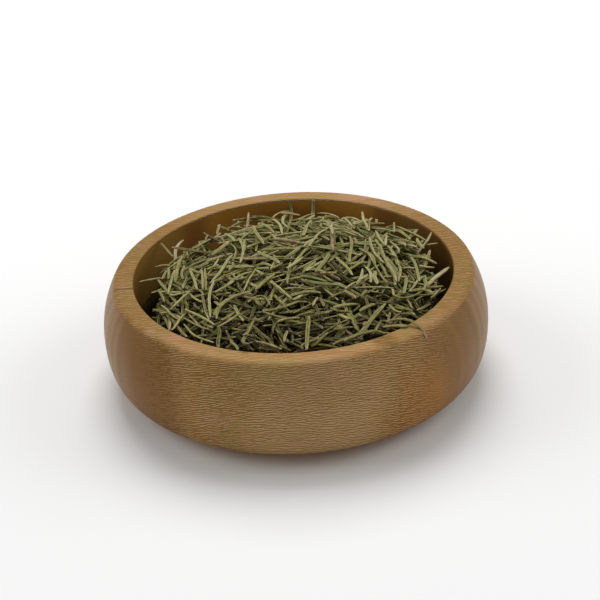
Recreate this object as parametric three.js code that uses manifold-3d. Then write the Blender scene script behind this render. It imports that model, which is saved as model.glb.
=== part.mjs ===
// A turned wooden bowl heaped with dried rosemary leaves.
// Millimetres, +Z up. The origin is the middle of the bowl's foot, on the surface that it stands on.
import * as THREE from "three";
import { mergeVertices } from "three/addons/utils/BufferGeometryUtils.js";
import Module from "manifold-3d";

const wasm = await Module();
wasm.setup();

const GAP = 0.35; // between pieces that touch
const UP = new THREE.Vector3(0, 0, 1);
const SAME_POINT = 1e-3; // points closer than this are one
const GOLDEN_ANGLE = Math.PI * (3 - Math.sqrt(5));

// The bowl.
const BOWL_RADIUS = 75; // at its widest
const BOWL_HEIGHT = 43.5;
const WIDEST_HEIGHT = 22.8; // height of the widest circle
const SHOULDER_ARC_RADIUS = 40; // the outside between the widest circle and the rim
const BELLY_RADIUS = 70; // the belly's curve leaves the foot towards this radius
const BELLY_HEIGHT = 6.3; // and comes up to the widest circle from this height
const RIM_OUTER_RADIUS = 68.9;
const RIM_INNER_RADIUS = 61.8;
const RIM_EDGE = 0.9; // rounding of the rim's two edges
const CAVITY_RADIUS = 65; // the inside, undercut below the rim
const CAVITY_WIDEST_HEIGHT = 24;
const UNDERCUT_HEIGHT = 8; // the undercut is nearly full this far below the rim
const FLOOR_THICKNESS = 7;
const FLOOR_CORNER = 15; // where the inside turns into the floor
const FOOT_RADIUS = 52;
const FOOT_HEIGHT = 0.8;
const BOWL_SIDES = 64;
const BOWL_CURVE_STEPS = 4;

// The heap's surface.
const HEAP_CROWN = 8; // its middle above the rim
const HEAP_SHOULDER_RADIUS = 55; // where it starts to drop to the wall
const HEAP_SHOULDER_DROP = 3; // its height there, below the rim
const HEAP_FALL = 9; // its further drop from there to the wall
const HEAP_FALL_POWER = 1.5; // 1 drops evenly, more drops late
const HEAP_FRONT = -Math.PI / 3; // the side where it is heaped highest against the wall
const HEAP_FRONT_LIFT = 1.8; // its extra height at the shoulder on that side
const HEAP_FRONT_FILL = 0.8; // the share of the fall that is filled up there
const LUMP_HEIGHT = 0.7;
const LUMP_WAVES = [3, 5]; // two sets of waves round the heap
const LUMP_SHARES = [1, 0.8]; // and their heights, as shares of that
const LUMP_START = 0.6; // where the first set starts, in radians
const LUMP_TWIST = 9; // radius over which the second set turns by a radian

// The buried leaves.
const BED_DEPTH = 2.4; // the bed lies this far under the heap's surface
const BED_GIVE = 0.2; // how far the leaves' ground lies inside it, so that all of them are held
const BED_SIDES = 34;
const BED_RINGS = [10, 20, 30, 39, 47, 53, 56, 58.5, 60.5]; // the circles that shape its top
const BED_EDGE_DROP = 14; // its edge at the wall, below the rim
const BED_CURVE_STEPS = 3;

// The leaves on top.
const LEAF_COUNT = 296;
const LEAF_LENGTH = [11, 22];
const LEAF_WIDTH = [1.3, 2.0];
const LEAF_THICKNESS = 1.25;
const LEAF_FULLNESS = 0.5; // 1 tapers a leaf evenly to its tips, less keeps it wide for longer
const LEAF_RINGS = 2; // shaped sections between its tips
const LEAF_SIDE_BEND = 0.08; // as shares of its length
const LEAF_LIFT_BEND = 0.05;
const LEAF_SINK = 0.25; // how far a leaf sinks into what it lies on
const LEAF_SPREAD = 60; // leaves start within this radius
const LEAF_WALL = 60.3; // the heap's leaves reach this radius on the side where it is highest
const WALL_CLEARANCE = 3; // and stay this much further from the wall at the back
const FLOW_SWING = [2.2, 2]; // how leaves turn together from place to place, in radians
const FLOW_LENGTH = [26, 22]; // distance along X and along Y for a radian of that
const FLOW_START = [1.1, -0.4];
const LEAF_STRAY = 1.4; // how far a leaf may turn from its neighbours, in radians
const STEEPEST = 0.35; // the most that a leaf rises along its length
const WALL_PASSES = 4; // moves away from the wall, at one tip and then at the other
const SHUFFLE = 89; // mixes the spiral's order
const SPIRAL_JITTER = 0.2; // in radians
const CELL = 0.5; // grid of the height map that the leaves lie down on
const LINE_STEPS = 32; // points along a leaf that feel the ground
const FELT_WIDTH = 0.35; // and as far to each side, as a share of its width
const SEED = 17;

// The single leaves and bits of stalk, each by its two ends and the point that it bends towards.
// Those that touch the bowl have heights, from the rim's plane. The others lie down on the heap.
const STRAY_LEAVES = {
  leaf_over_rim: [
    { from: [31.7, -43.5, 1.6], via: [40.8, -41.7, 2.6], to: [46.7, -57.9, -0.4], width: 1.7 },
    { from: [31.6, -48.6, 0], via: [36.1, -50.4, 1], to: [40.5, -49.8, 0.9], width: 1.8 },
    { from: [16.8, -56.4, 0], via: [27, -50.5, 1.6], to: [31.6, -54.6, 0.9], width: 1.8 },
  ],
  leaf_on_wall: [
    { from: [0.3, 58.6, -7.6], via: [0.5, 60.4, -4], to: [0.7, 60.8, 0], width: 1.6, facing: [0, -1, 0] },
    { from: [9.4, 57.8, -7.6], via: [9.8, 59.6, -4], to: [10.3, 59.9, 0], width: 1.7, facing: [0, -1, 0] },
    { from: [-47.8, 24.4, -4], via: [-50.4, 27.6, -2.4], to: [-52.2, 31, -0.6], width: 1.4 },
  ],
  leaf_to_wall: [
    { from: [-48.9, 16], via: [-46.4, 22], to: [-43.1, 27], width: 1.5 },
    { from: [-44.2, 2.6], via: [-53, 4.4], to: [-59.9, 2], width: 1.5 },
    { from: [46.2, -16.6], via: [54, -8.6], to: [60, -1.8], width: 2.2 },
    { from: [47.6, 13], via: [52.4, 17], to: [55.6, 22.2], width: 1.5 },
    { from: [45.2, 19], via: [52, 18.6], to: [57.6, 17], width: 1.4 },
  ],
};
const STALKS = {
  stalk: [
    { from: [-17.4, 32], via: [-16.9, 38], to: [-16.6, 46.4], width: 1.3 },
    { from: [-7.4, 13.4], via: [-1.6, 9.4], to: [4, 4.2], width: 1.5 },
    { from: [8.6, -16.8], via: [13, -17.8], to: [17.6, -19.6], width: 1.4 },
    { from: [24.4, 13.6], via: [25.4, 7], to: [24.8, 0.6], width: 1.3 },
    { from: [16.4, 16], via: [15.6, 7], to: [15.8, -1.9], width: 1.5 },
    { from: [14.8, -48.6], via: [17.4, -50.8], to: [20.4, -52.6], width: 1.1 },
    { from: [-24.5, -24], via: [-20, -27], to: [-15.8, -28.4], width: 1.3 },
  ],
};
const LEAF_SIDES = 3; // flat below and ridged on top
const STALK_SIDES = 5;
const STRAY_RINGS = 6; // shaped sections between the tips of a single piece
const STRAY_ARCH = 0.4; // how far its middle stands up where it lies down on the heap
const LIFT_STEP = 0.1; // it rises by this until it is clear

const wood = new THREE.MeshStandardMaterial({ color: 0xa0764a, roughness: 0.55, metalness: 0 });
const driedLeaf = new THREE.MeshStandardMaterial({ color: 0x7d7f4c, roughness: 0.8, metalness: 0 });
const driedStalk = new THREE.MeshStandardMaterial({ color: 0x7a5236, roughness: 0.8, metalness: 0 });

// A repeatable draw from 0 to 1.
function drawer(seed) {
  let state = seed;
  return () => {
    state = (Math.imul(state, 1664525) + 1013904223) >>> 0;
    return state / 4294967296;
  };
}

const between = ([low, high], share) => low + (high - low) * share;

// A three.js geometry as a manifold-3d solid.
function solidOf(geometry) {
  const bare = geometry.index ? geometry.toNonIndexed() : geometry.clone();
  const positions = new THREE.BufferGeometry().setAttribute("position", bare.getAttribute("position"));
  const merged = mergeVertices(positions, SAME_POINT);
  return new wasm.Manifold(
    new wasm.Mesh({
      numProp: 3,
      vertProperties: new Float32Array(merged.attributes.position.array),
      triVerts: new Uint32Array(merged.index.array),
    }),
  );
}

function geometryOf(solid) {
  const mesh = solid.getMesh();
  const geometry = new THREE.BufferGeometry();
  geometry.setAttribute("position", new THREE.BufferAttribute(mesh.vertProperties, 3));
  geometry.setIndex(new THREE.BufferAttribute(mesh.triVerts, 1));
  geometry.computeVertexNormals();
  return geometry;
}

// A path in the half plane of radius and height, turned round the upright axis.
function turned(path, divisions, sides) {
  return new THREE.LatheGeometry(path.getPoints(divisions), sides).rotateX(Math.PI / 2);
}

function bowlGeometry() {
  const shoulderX = BOWL_RADIUS - SHOULDER_ARC_RADIUS;
  const shoulderEnd = Math.asin((BOWL_HEIGHT - RIM_EDGE - WIDEST_HEIGHT) / SHOULDER_ARC_RADIUS);
  const path = new THREE.Path()
    .moveTo(0, 0)
    .lineTo(FOOT_RADIUS, 0)
    .lineTo(FOOT_RADIUS + FOOT_HEIGHT, FOOT_HEIGHT)
    .bezierCurveTo(BELLY_RADIUS, FOOT_HEIGHT, BOWL_RADIUS, BELLY_HEIGHT, BOWL_RADIUS, WIDEST_HEIGHT)
    .absarc(shoulderX, WIDEST_HEIGHT, SHOULDER_ARC_RADIUS, 0, shoulderEnd)
    .lineTo(RIM_OUTER_RADIUS, BOWL_HEIGHT)
    .lineTo(RIM_INNER_RADIUS + RIM_EDGE, BOWL_HEIGHT)
    .lineTo(RIM_INNER_RADIUS, BOWL_HEIGHT - RIM_EDGE)
    .quadraticCurveTo(CAVITY_RADIUS, BOWL_HEIGHT - UNDERCUT_HEIGHT, CAVITY_RADIUS, CAVITY_WIDEST_HEIGHT)
    .quadraticCurveTo(CAVITY_RADIUS, FLOOR_THICKNESS, CAVITY_RADIUS - FLOOR_CORNER, FLOOR_THICKNESS)
    .lineTo(0, FLOOR_THICKNESS);
  return turned(path, BOWL_CURVE_STEPS, BOWL_SIDES);
}

// How much a place belongs to the side where the heap is highest: 1 there, 0 at the back.
const frontShare = (x, y) => Math.max(0, Math.cos(Math.atan2(y, x) - HEAP_FRONT));

// How far out the heap's leaves reach.
const leafWall = ({ x, y }) => LEAF_WALL - WALL_CLEARANCE * (1 - frontShare(x, y));

// Height of the heap's surface, from the foot.
function heapHeight(x, y) {
  const radius = Math.hypot(x, y);
  const angle = Math.atan2(y, x);
  const reach = radius / HEAP_SHOULDER_RADIUS;
  const front = frontShare(x, y);
  const dome = HEAP_CROWN - (HEAP_CROWN + HEAP_SHOULDER_DROP) * reach ** 2;
  const outside = Math.max(0, (radius - HEAP_SHOULDER_RADIUS) / (LEAF_WALL - HEAP_SHOULDER_RADIUS));
  const fall = HEAP_FALL * (1 - HEAP_FRONT_FILL * front) * outside ** HEAP_FALL_POWER;
  const firstWaves = LUMP_SHARES[0] * Math.sin(LUMP_WAVES[0] * angle + LUMP_START);
  const secondWaves = LUMP_SHARES[1] * Math.sin(LUMP_WAVES[1] * angle + radius / LUMP_TWIST);
  const lumps = LUMP_HEIGHT * (firstWaves + secondWaves) * Math.min(1, reach * 2);
  return BOWL_HEIGHT + dome - fall + HEAP_FRONT_LIFT * front * reach ** 2 + lumps;
}

// The buried leaves: a turned solid that fills the bowl, with each point of its top lifted to just
// under the heap's surface.
function bedGeometry() {
  const wall = CAVITY_RADIUS - GAP;
  const floor = FLOOR_THICKNESS + GAP;
  const path = new THREE.Path()
    .moveTo(0, floor)
    .lineTo(wall - FLOOR_CORNER, floor)
    .quadraticCurveTo(wall, floor, wall, CAVITY_WIDEST_HEIGHT)
    .lineTo(wall - GAP, BOWL_HEIGHT - BED_EDGE_DROP);
  for (const radius of [...BED_RINGS].reverse()) path.lineTo(radius, BOWL_HEIGHT);
  path.lineTo(0, BOWL_HEIGHT);
  const geometry = turned(path, BED_CURVE_STEPS, BED_SIDES);
  const position = geometry.attributes.position;
  for (let i = 0; i < position.count; i++) {
    if (position.getZ(i) < BOWL_HEIGHT - SAME_POINT) continue;
    position.setZ(i, heapHeight(position.getX(i), position.getY(i)) - BED_DEPTH);
  }
  return geometry;
}

// A spindle along a curve: the poles of a sphere are its tips. With three sides it is a leaf with a
// flat side away from its facing. Growing it by some margin gives the room that it needs.
function spindleGeometry(curve, { width, thickness, sides, rings, facing = UP, grow = 0 }) {
  const geometry = new THREE.SphereGeometry(1, sides, rings + 1);
  const flat = sides === LEAF_SIDES;
  const halfBase = flat ? Math.sin((Math.PI * 2) / 3) : 1;
  const height = flat ? 1.5 : 2;
  const corner = grow / Math.cos(Math.PI / sides);
  const position = geometry.attributes.position;
  for (let i = 0; i < position.count; i++) {
    const along = position.getY(i);
    const [up, across] = [-position.getX(i), position.getZ(i)];
    const ring = Math.hypot(up, across);
    const fuller = ring > 0.01 ? ring ** (LEAF_FULLNESS - 1) : 0;
    const share = (along + 1) / 2;
    const tangent = curve.getTangent(share);
    const side = tangent.clone().cross(facing).normalize();
    const lift = side.clone().cross(tangent);
    const point = curve.getPoint(share);
    if (ring > 0.01) {
      point.addScaledVector(side, across * ((fuller * width) / 2 / halfBase + corner / ring));
      point.addScaledVector(lift, up * ((fuller * thickness) / height + corner / ring));
    } else {
      point.addScaledVector(tangent, along * corner);
    }
    position.setXYZ(i, point.x, point.y, point.z);
  }
  return geometry;
}

// How thick a leaf is at t, from -1 at one tip to 1 at the other, as a share of its full thickness.
const thicknessAt = (t) => Math.min(1, 2 - 2 * Math.abs(t));

// Height and slope that a leaf's middle line comes to rest at: under no point of the ground, and
// touching it on both sides of the leaf's middle, or level if it can be where only the middle
// touches. A leaf that would lie too steep stays propped at the steepest slope.
function restingLine(felt, steepest) {
  const middle = (felt.length - 1) / 2;
  const best = { height: felt[middle], slope: null };
  let [least, most] = [-Infinity, Infinity];
  for (let i = 0; i < middle; i++) {
    most = Math.min(most, (felt[middle] - felt[i]) / (middle - i));
    for (let j = middle + 1; j < felt.length; j++) {
      least = Math.max(least, (felt[j] - felt[middle]) / (j - middle));
      const slope = (felt[j] - felt[i]) / (j - i);
      const height = felt[i] + slope * (middle - i);
      if (height > best.height) Object.assign(best, { height, slope });
    }
  }
  best.slope ??= Math.min(most, Math.max(least, 0));
  if (Math.abs(best.slope) > steepest) {
    best.slope = Math.sign(best.slope) * steepest;
    best.height = Math.max(...felt.map((height, i) => height - best.slope * (i - middle)));
  }
  return best;
}

// The ground that leaves lie down on: a height map of the bed, which each leaf then adds itself to.
const groundSize = Math.ceil((2 * RIM_INNER_RADIUS) / CELL);
const groundStart = (-groundSize * CELL) / 2;
const ground = new Float64Array(groundSize * groundSize);
const cellOf = (x, y) =>
  Math.round((y - groundStart) / CELL) * groundSize + Math.round((x - groundStart) / CELL);
for (let row = 0; row < groundSize; row++) {
  for (let column = 0; column < groundSize; column++) {
    const height = heapHeight(groundStart + column * CELL, groundStart + row * CELL);
    ground[row * groundSize + column] = height - BED_DEPTH - BED_GIVE;
  }
}

// Lays a leaf or a stalk down along a flat curve, given by its two ends and the point that it bends
// towards. Gives the curve that it comes to rest on.
function layDown({ start, bend, end, arch, width, thickness }, sink = 0) {
  const flat = new THREE.QuadraticBezierCurve(start, bend, end);
  const side = end.clone().sub(start).normalize().multiplyScalar(FELT_WIDTH * width);
  const line = [];
  for (let i = 0; i <= LINE_STEPS; i++) {
    const t = (2 * i) / LINE_STEPS - 1;
    const { x, y } = flat.getPoint(i / LINE_STEPS);
    const cells = [-1, 0, 1].map((across) => cellOf(x - side.y * across, y + side.x * across));
    line.push({ t, cells, lift: arch * (1 - t * t), under: (thicknessAt(t) * thickness) / 3 });
  }
  const felt = line.map((p) => Math.max(...p.cells.map((cell) => ground[cell])) + p.under - p.lift);
  const { height, slope } = restingLine(felt, (STEEPEST * start.distanceTo(end)) / LINE_STEPS);
  const rise = (slope * LINE_STEPS) / 2;
  const z = height - sink;
  for (const p of line) {
    const middle = z + rise * p.t + p.lift;
    const tops = [middle, middle + 2 * p.under, middle];
    p.cells.forEach((cell, i) => (ground[cell] = Math.max(ground[cell], tops[i])));
  }
  return new THREE.QuadraticBezierCurve3(
    new THREE.Vector3(start.x, start.y, z - rise),
    new THREE.Vector3(bend.x, bend.y, z + 2 * arch),
    new THREE.Vector3(end.x, end.y, z + rise),
  );
}

// Where one leaf of the heap comes down, by its number and the draws that are its own.
function leafPlace(number, draw) {
  const order = (number * SHUFFLE) % LEAF_COUNT;
  const reach = LEAF_SPREAD * Math.sqrt((order + 0.5) / LEAF_COUNT);
  const turn = order * GOLDEN_ANGLE + (draw() - 0.5) * SPIRAL_JITTER;
  const middle = new THREE.Vector2(reach * Math.cos(turn), reach * Math.sin(turn));
  const flowX = FLOW_SWING[0] * Math.sin(middle.x / FLOW_LENGTH[0] + FLOW_START[0]);
  const flowY = FLOW_SWING[1] * Math.cos(middle.y / FLOW_LENGTH[1] + FLOW_START[1]);
  const yaw = flowX + flowY + (draw() + draw() + draw() - 1.5) * LEAF_STRAY;
  const length = between(LEAF_LENGTH, draw());
  const width = between(LEAF_WIDTH, draw());
  const sideBend = (draw() * 2 - 1) * LEAF_SIDE_BEND * length;
  const arch = (draw() * 2 - 0.8) * LEAF_LIFT_BEND * length;
  const half = new THREE.Vector2(Math.cos(yaw), Math.sin(yaw)).multiplyScalar(length / 2);
  for (let pass = 0; pass < WALL_PASSES; pass++) {
    for (const sign of [-1, 1]) {
      const tip = middle.clone().addScaledVector(half, sign);
      const over = tip.length() - leafWall(tip);
      if (over > 0) middle.addScaledVector(tip.normalize(), -over);
    }
  }
  const bend = new THREE.Vector2(-half.y, half.x).setLength(2 * Math.abs(sideBend));
  return {
    start: middle.clone().sub(half),
    bend: middle.clone().addScaledVector(bend, Math.sign(sideBend)),
    end: middle.clone().add(half),
    arch,
    width,
    thickness: LEAF_THICKNESS,
  };
}

// One body: the largest, where a join leaves loose scraps.
function largest(solid) {
  return solid.decompose().sort((a, b) => b.volume() - a.volume())[0];
}

function heapSolid() {
  const draw = drawer(SEED);
  let heap = solidOf(bedGeometry());
  for (let number = 0; number < LEAF_COUNT; number++) {
    const place = leafPlace(number, draw);
    const curve = layDown(place, LEAF_SINK);
    heap = heap.add(solidOf(spindleGeometry(curve, { ...place, sides: LEAF_SIDES, rings: LEAF_RINGS })));
  }
  return largest(heap);
}

// A single leaf or bit of stalk, laid down on the heap where its ends have no heights of their own,
// and then raised by small steps until it is clear of everything before it.
function strayGeometry({ from, via, to, width, facing = [0, 0, 1] }, sides, others) {
  const points = [from, via, to];
  const thickness = sides === LEAF_SIDES ? LEAF_THICKNESS : width;
  const [start, bend, end] = points.map(([x, y]) => new THREE.Vector2(x, y));
  const held = points.map(([x, y, z]) => new THREE.Vector3(x, y, BOWL_HEIGHT + z));
  const curve =
    from.length === held.length
      ? new THREE.QuadraticBezierCurve3(...held)
      : layDown({ start, bend, end, arch: STRAY_ARCH, width, thickness });
  const shape = { width, thickness, sides, rings: STRAY_RINGS, facing: new THREE.Vector3(...facing) };
  const room = spindleGeometry(curve, { ...shape, grow: GAP });
  let lift = 0;
  while (!others.every((other) => other.intersect(solidOf(room)).isEmpty())) {
    room.translate(0, 0, LIFT_STEP);
    lift += LIFT_STEP;
  }
  return spindleGeometry(curve, shape).translate(0, 0, lift);
}

function named(name, geometry, material) {
  const mesh = new THREE.Mesh(geometry, material);
  mesh.name = name;
  return mesh;
}

const rosemaryBowl = new THREE.Group();
const bowl = bowlGeometry();
const heap = heapSolid();
rosemaryBowl.add(named("bowl", bowl, wood));
rosemaryBowl.add(named("leaf_heap", geometryOf(heap), driedLeaf));

const laid = [solidOf(bowl), heap];
function addStrays(groups, sides, material) {
  for (const [name, pieces] of Object.entries(groups)) {
    pieces.forEach((piece, i) => {
      const geometry = strayGeometry(piece, sides, laid);
      laid.push(solidOf(geometry));
      rosemaryBowl.add(named(`${name}_${i + 1}`, geometry, material));
    });
  }
}
addStrays(STRAY_LEAVES, LEAF_SIDES, driedLeaf);
addStrays(STALKS, STALK_SIDES, driedStalk);

export default rosemaryBowl;
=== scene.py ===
"""A turned wooden bowl heaped with dried rosemary leaves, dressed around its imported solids."""

import math

import bpy
import numpy as np
from mathutils import Matrix, Vector


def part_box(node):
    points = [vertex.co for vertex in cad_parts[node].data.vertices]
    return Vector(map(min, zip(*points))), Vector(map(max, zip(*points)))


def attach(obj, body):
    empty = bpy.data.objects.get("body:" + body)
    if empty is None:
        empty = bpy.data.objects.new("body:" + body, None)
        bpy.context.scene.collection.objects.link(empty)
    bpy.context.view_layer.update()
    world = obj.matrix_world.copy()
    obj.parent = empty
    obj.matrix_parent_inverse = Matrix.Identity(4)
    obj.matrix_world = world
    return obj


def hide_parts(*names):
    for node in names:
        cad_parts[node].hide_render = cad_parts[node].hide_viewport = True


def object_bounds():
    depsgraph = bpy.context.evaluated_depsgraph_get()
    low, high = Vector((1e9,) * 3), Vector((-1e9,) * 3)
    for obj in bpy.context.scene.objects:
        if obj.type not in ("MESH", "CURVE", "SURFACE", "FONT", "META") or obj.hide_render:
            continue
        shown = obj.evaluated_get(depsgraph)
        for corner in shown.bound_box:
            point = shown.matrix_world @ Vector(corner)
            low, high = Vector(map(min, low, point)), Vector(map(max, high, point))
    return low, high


bl_info = {
    "name": "Bowl of dried rosemary leaves",
    "version": (1, 0, 0),
    "blender": (4, 5, 0),
    "location": "3D View > Sidebar > Rosemary bowl",
    "description": "Turns the bowl, pours the dried leaves into it and sets the stage",
    "category": "Object",
}

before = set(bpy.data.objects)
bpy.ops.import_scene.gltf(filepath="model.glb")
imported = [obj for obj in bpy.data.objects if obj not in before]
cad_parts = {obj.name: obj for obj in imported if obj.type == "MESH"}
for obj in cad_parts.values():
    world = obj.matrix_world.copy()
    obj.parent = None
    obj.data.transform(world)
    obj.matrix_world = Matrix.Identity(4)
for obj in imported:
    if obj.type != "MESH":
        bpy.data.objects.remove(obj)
CAD_LOW, CAD_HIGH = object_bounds()
BOWL_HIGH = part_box("bowl")[1]

MM = 0.001
BODY = "root"
FLOAT = bpy.props.FloatProperty
INT = bpy.props.IntProperty


def length(name, description, millimetres):
    return FLOAT(
        name=name, description=description, default=millimetres * MM, unit="LENGTH", precision=5
    )


def share(name, description, default):
    return FLOAT(name=name, description=description, default=default, subtype="FACTOR")


def plain(name, description, default):
    return FLOAT(name=name, description=description, default=default)


def angle(name, description, degrees):
    return FLOAT(
        name=name, description=description, default=math.radians(degrees), subtype="ANGLE"
    )


def count(name, description, default):
    return INT(name=name, description=description, default=default, min=0)


def colour(name, description, red, green, blue):
    return bpy.props.FloatVectorProperty(
        name=name,
        description=description,
        default=(red, green, blue),
        subtype="COLOR",
        size=3,
        min=0,
        max=1,
    )


# ---------------------------------------------------------------- sizes and colours


class BowlSizes(bpy.types.PropertyGroup):
    radius: FLOAT(
        name="Radius", description="Of the widest circle", default=BOWL_HIGH.x, unit="LENGTH"
    )
    height: FLOAT(
        name="Height", description="From the foot to the rim", default=BOWL_HIGH.z, unit="LENGTH"
    )
    widest_height: length("Widest height", "Height of the widest circle", 22.8)
    shoulder_arc: length("Shoulder arc", "Radius of the outside between there and the rim", 40)
    belly_radius: length("Belly radius", "The belly's curve leaves the foot towards it", 70)
    belly_height: length("Belly height", "And comes up to the widest circle from it", 6.3)
    rim_outer: length("Rim, outside", "Radius where the flat of the rim ends", 67.3)
    rim_inner: length("Rim, inside", "Radius of the mouth", 61.8)
    rim_round: length("Rim rounding", "Of the edge of the mouth", 1.0)
    crease_round: length("Crease rounding", "Height of the soft edge outside the rim", 1.6)
    cavity_radius: length("Cavity radius", "The inside, undercut below the rim", 63)
    cavity_widest: length("Cavity widest height", "Height where the inside is widest", 24)
    undercut: length("Undercut", "It is nearly full this far below the rim", 8)
    floor_thickness: length("Floor thickness", "Of the wood under the leaves", 7)
    floor_corner: length("Floor corner", "Where the inside turns into the floor", 15)
    foot_radius: length("Foot radius", "Of the flat disc that the bowl stands on", 52)
    foot_edge: length("Foot edge", "Height of the small bevel round the foot", 0.8)
    sides: count("Sides", "Steps round the bowl", 288)


class HeapSizes(bpy.types.PropertyGroup):
    crown: length("Crown", "The heap's middle above the rim", 8)
    shoulder_radius: length("Shoulder radius", "Where the heap starts to drop to the wall", 55)
    shoulder_drop: length("Shoulder drop", "Its height there, below the rim", 3)
    fall: length("Fall", "Its further drop from there to the wall", 9)
    fall_power: plain("Fall power", "1 drops evenly, more drops late", 1.5)
    front: angle("Front", "The side where it is heaped highest against the wall", -60)
    front_lift: length("Front lift", "Its extra height at the shoulder there", 1.8)
    front_fill: share("Front fill", "The share of the fall that is filled up there", 0.8)
    lump_height: length("Lump height", "Of the waves over the heap", 0.7)
    lump_start: angle("Lump start", "Where the first set of waves starts", math.degrees(0.6))
    lump_twist: length("Lump twist", "Radius that turns the second set by a radian", 9)
    wall: length("Wall", "The leaves reach this radius at the front", 60.3)
    wall_clearance: length("Wall clearance", "They stay this much further off at the back", 3)
    bare: angle("Bare side", "Where more of the wall stands bare", 126)
    bare_clearance: length("Bare clearance", "How much the leaves fall short there", 10)
    bare_drop: length("Bare drop", "How much lower the heap is at its edge there", 2.0)
    left_clearance: length("Left clearance", "And this much at the left", 3)
    right_clearance: length("Right clearance", "And this much at the right", 5)
    bed_depth: length("Bed depth", "The crumbs under the leaves lie this deep", 9)
    flow_swing_x: angle("Flow swing along X", "How leaves turn together", math.degrees(2.2))
    flow_swing_y: angle("Flow swing along Y", "How leaves turn together", math.degrees(2))
    flow_length_x: length("Flow length along X", "Distance for a radian of the swing", 26)
    flow_length_y: length("Flow length along Y", "Distance for a radian of the swing", 22)


class LeafSizes(bpy.types.PropertyGroup):
    shortest: length("Shortest", "Length of the shortest whole leaf", 11)
    longest: length("Longest", "Length of the longest leaf", 22)
    narrowest: length("Narrowest", "Width of the narrowest leaf", 1.3)
    widest: length("Widest", "Width of the widest common leaf", 2.0)
    thickness: share("Thickness", "As a share of the width, both edges rolled under", 0.62)
    slimming: share("Slimming", "Width of a dry leaf against its packed one", 0.74)
    side_bend: share("Side bend", "As a share of the length", 0.08)
    lift_bend: share("Lift bend", "As a share of the length", 0.05)
    stray: angle("Stray", "How far a leaf may turn from its neighbours", math.degrees(1.4))
    steepest: share("Steepest", "The most that a leaf rises along its length", 0.35)
    packed: count("Packed leaves", "Those of the packed heap", 296)
    buried: count("Buried leaves", "Those that fill the heap from the bed up", 1500)
    topping: count("Topping leaves", "Those that fill the gaps on top", 620)


class Finishes(bpy.types.PropertyGroup):
    wood_pale: colour("Pale wood", "The palest body", 0.47, 0.250, 0.125)
    wood_golden: colour("Golden wood", "The common body", 0.37, 0.205, 0.060)
    wood_olive: colour("Olive wood", "Cool patches", 0.33, 0.225, 0.060)
    wood_orange: colour("Orange wood", "Late rings", 0.34, 0.140, 0.024)
    # also the painted light on the front wall, and the paler middle of the flat rim
    wood_gleam: colour("Wood gleam", "Crests between the fibre lines", 0.56, 0.365, 0.165)
    # also the painted shade on the right of the hollow
    wood_dark: colour("Dark wood", "Fibre lines and the joint", 0.120, 0.055, 0.012)
    # darker sides of the flat rim, and the painted shadow of the leaves that lap the rim
    wood_tan: colour("Tanned wood", "Both sides of the rim", 0.20, 0.100, 0.012)
    wood_end: colour("End grain", "Where the fibres end", 0.165, 0.082, 0.024)
    # painted light: the hollow's wall gets brighter colours than the outside, for the light that
    # reaches into it
    wood_inner: colour("Hollow", "Its wall at the front and back", 0.66, 0.290, 0.035)
    wood_inner_side: colour("Hollow, sides", "Its wall at the left and right", 0.42, 0.235, 0.055)
    wood_smoky: colour("Smoky wood", "Upright bands beside the front", 0.19, 0.085, 0.014)
    wood_side: colour("End grain, paler", "The paler rings there", 0.27, 0.145, 0.052)
    leaf_deep: colour("Deep leaf", "The darkest leaves", 0.046, 0.037, 0.007)
    leaf_dull: colour("Dull leaf", "Dark leaves", 0.163, 0.144, 0.036)
    leaf_olive: colour("Olive leaf", "Common leaves", 0.246, 0.226, 0.059)
    leaf_sage: colour("Sage leaf", "Paler leaves", 0.320, 0.303, 0.094)
    leaf_pale: colour("Pale leaf", "The palest leaves", 0.382, 0.367, 0.158)
    leaf_fresh: colour("Fresh leaf", "Leaves that kept their green", 0.150, 0.195, 0.062)
    leaf_bark: colour("Brown leaf, dark", "The darkest leaves that dried brown", 0.034, 0.022, 0.014)
    leaf_brown: colour("Brown leaf", "Leaves that dried brown", 0.170, 0.110, 0.048)
    leaf_straw: colour("Straw leaf", "Pale leaves that dried brown", 0.400, 0.300, 0.130)
    leaf_cream: colour("Cream leaf", "The palest of them", 0.560, 0.470, 0.290)
    # painted shade in the groove and the slot
    leaf_groove: colour("Leaf groove", "Along the middle of a leaf", 0.045, 0.042, 0.010)
    # also the painted highlight on the crests of the leaves
    leaf_wool: colour("Leaf wool", "Dry tips and the woolly underside", 0.52, 0.48, 0.26)
    stalk_brown: colour("Stalk brown", "Bark of the twigs", 0.21, 0.135, 0.060)
    stalk_tan: colour("Stalk tan", "Bare wood of the twigs", 0.38, 0.27, 0.125)
    # near black: broken leaf with painted shade at the bottom of the gaps
    crumb: colour("Crumbs", "Broken leaf at the bottom of the gaps", 0.030, 0.021, 0.006)
    floor: colour("Floor", "The pale surface that the bowl stands on", 0.90, 0.90, 0.90)


class StageSizes(bpy.types.PropertyGroup):
    elevation: angle("Elevation", "The camera above the horizon", 28.377)
    roll: angle("Roll", "How far the view leans", 3.414)
    distance: length("Distance", "From the middle of the rim to the camera", 741)
    lens: plain("Lens", "Millimetres, on a 36 mm sensor", 114.99)
    shift_x: plain("Shift across", "To place the bowl in the frame", 0.0116)
    shift_y: plain("Shift up", "To place the bowl in the frame", -0.0500)
    light_height: length("Light height", "Of the large soft light", 2200)
    light_behind: length("Light behind", "How far it stands behind the bowl", 1300)
    light_width: length("Light width", "Across the soft light", 1600)
    light_power: plain("Light power", "Watts", 41.5)
    side_distance: length("Side light distance", "From the bowl to each side light", 1800)
    side_behind: length("Side light behind", "How far they stand behind the bowl", 300)
    side_height: length("Side light height", "Of both side lights", 1100)
    side_size: length("Side light size", "Across each side light", 1500)
    side_power: plain("Side light power", "Watts", 14.5)
    sky: plain("Sky", "Strength of the light from all round", 0.30)
    floor_size: length("Floor size", "Across", 6000)


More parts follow.
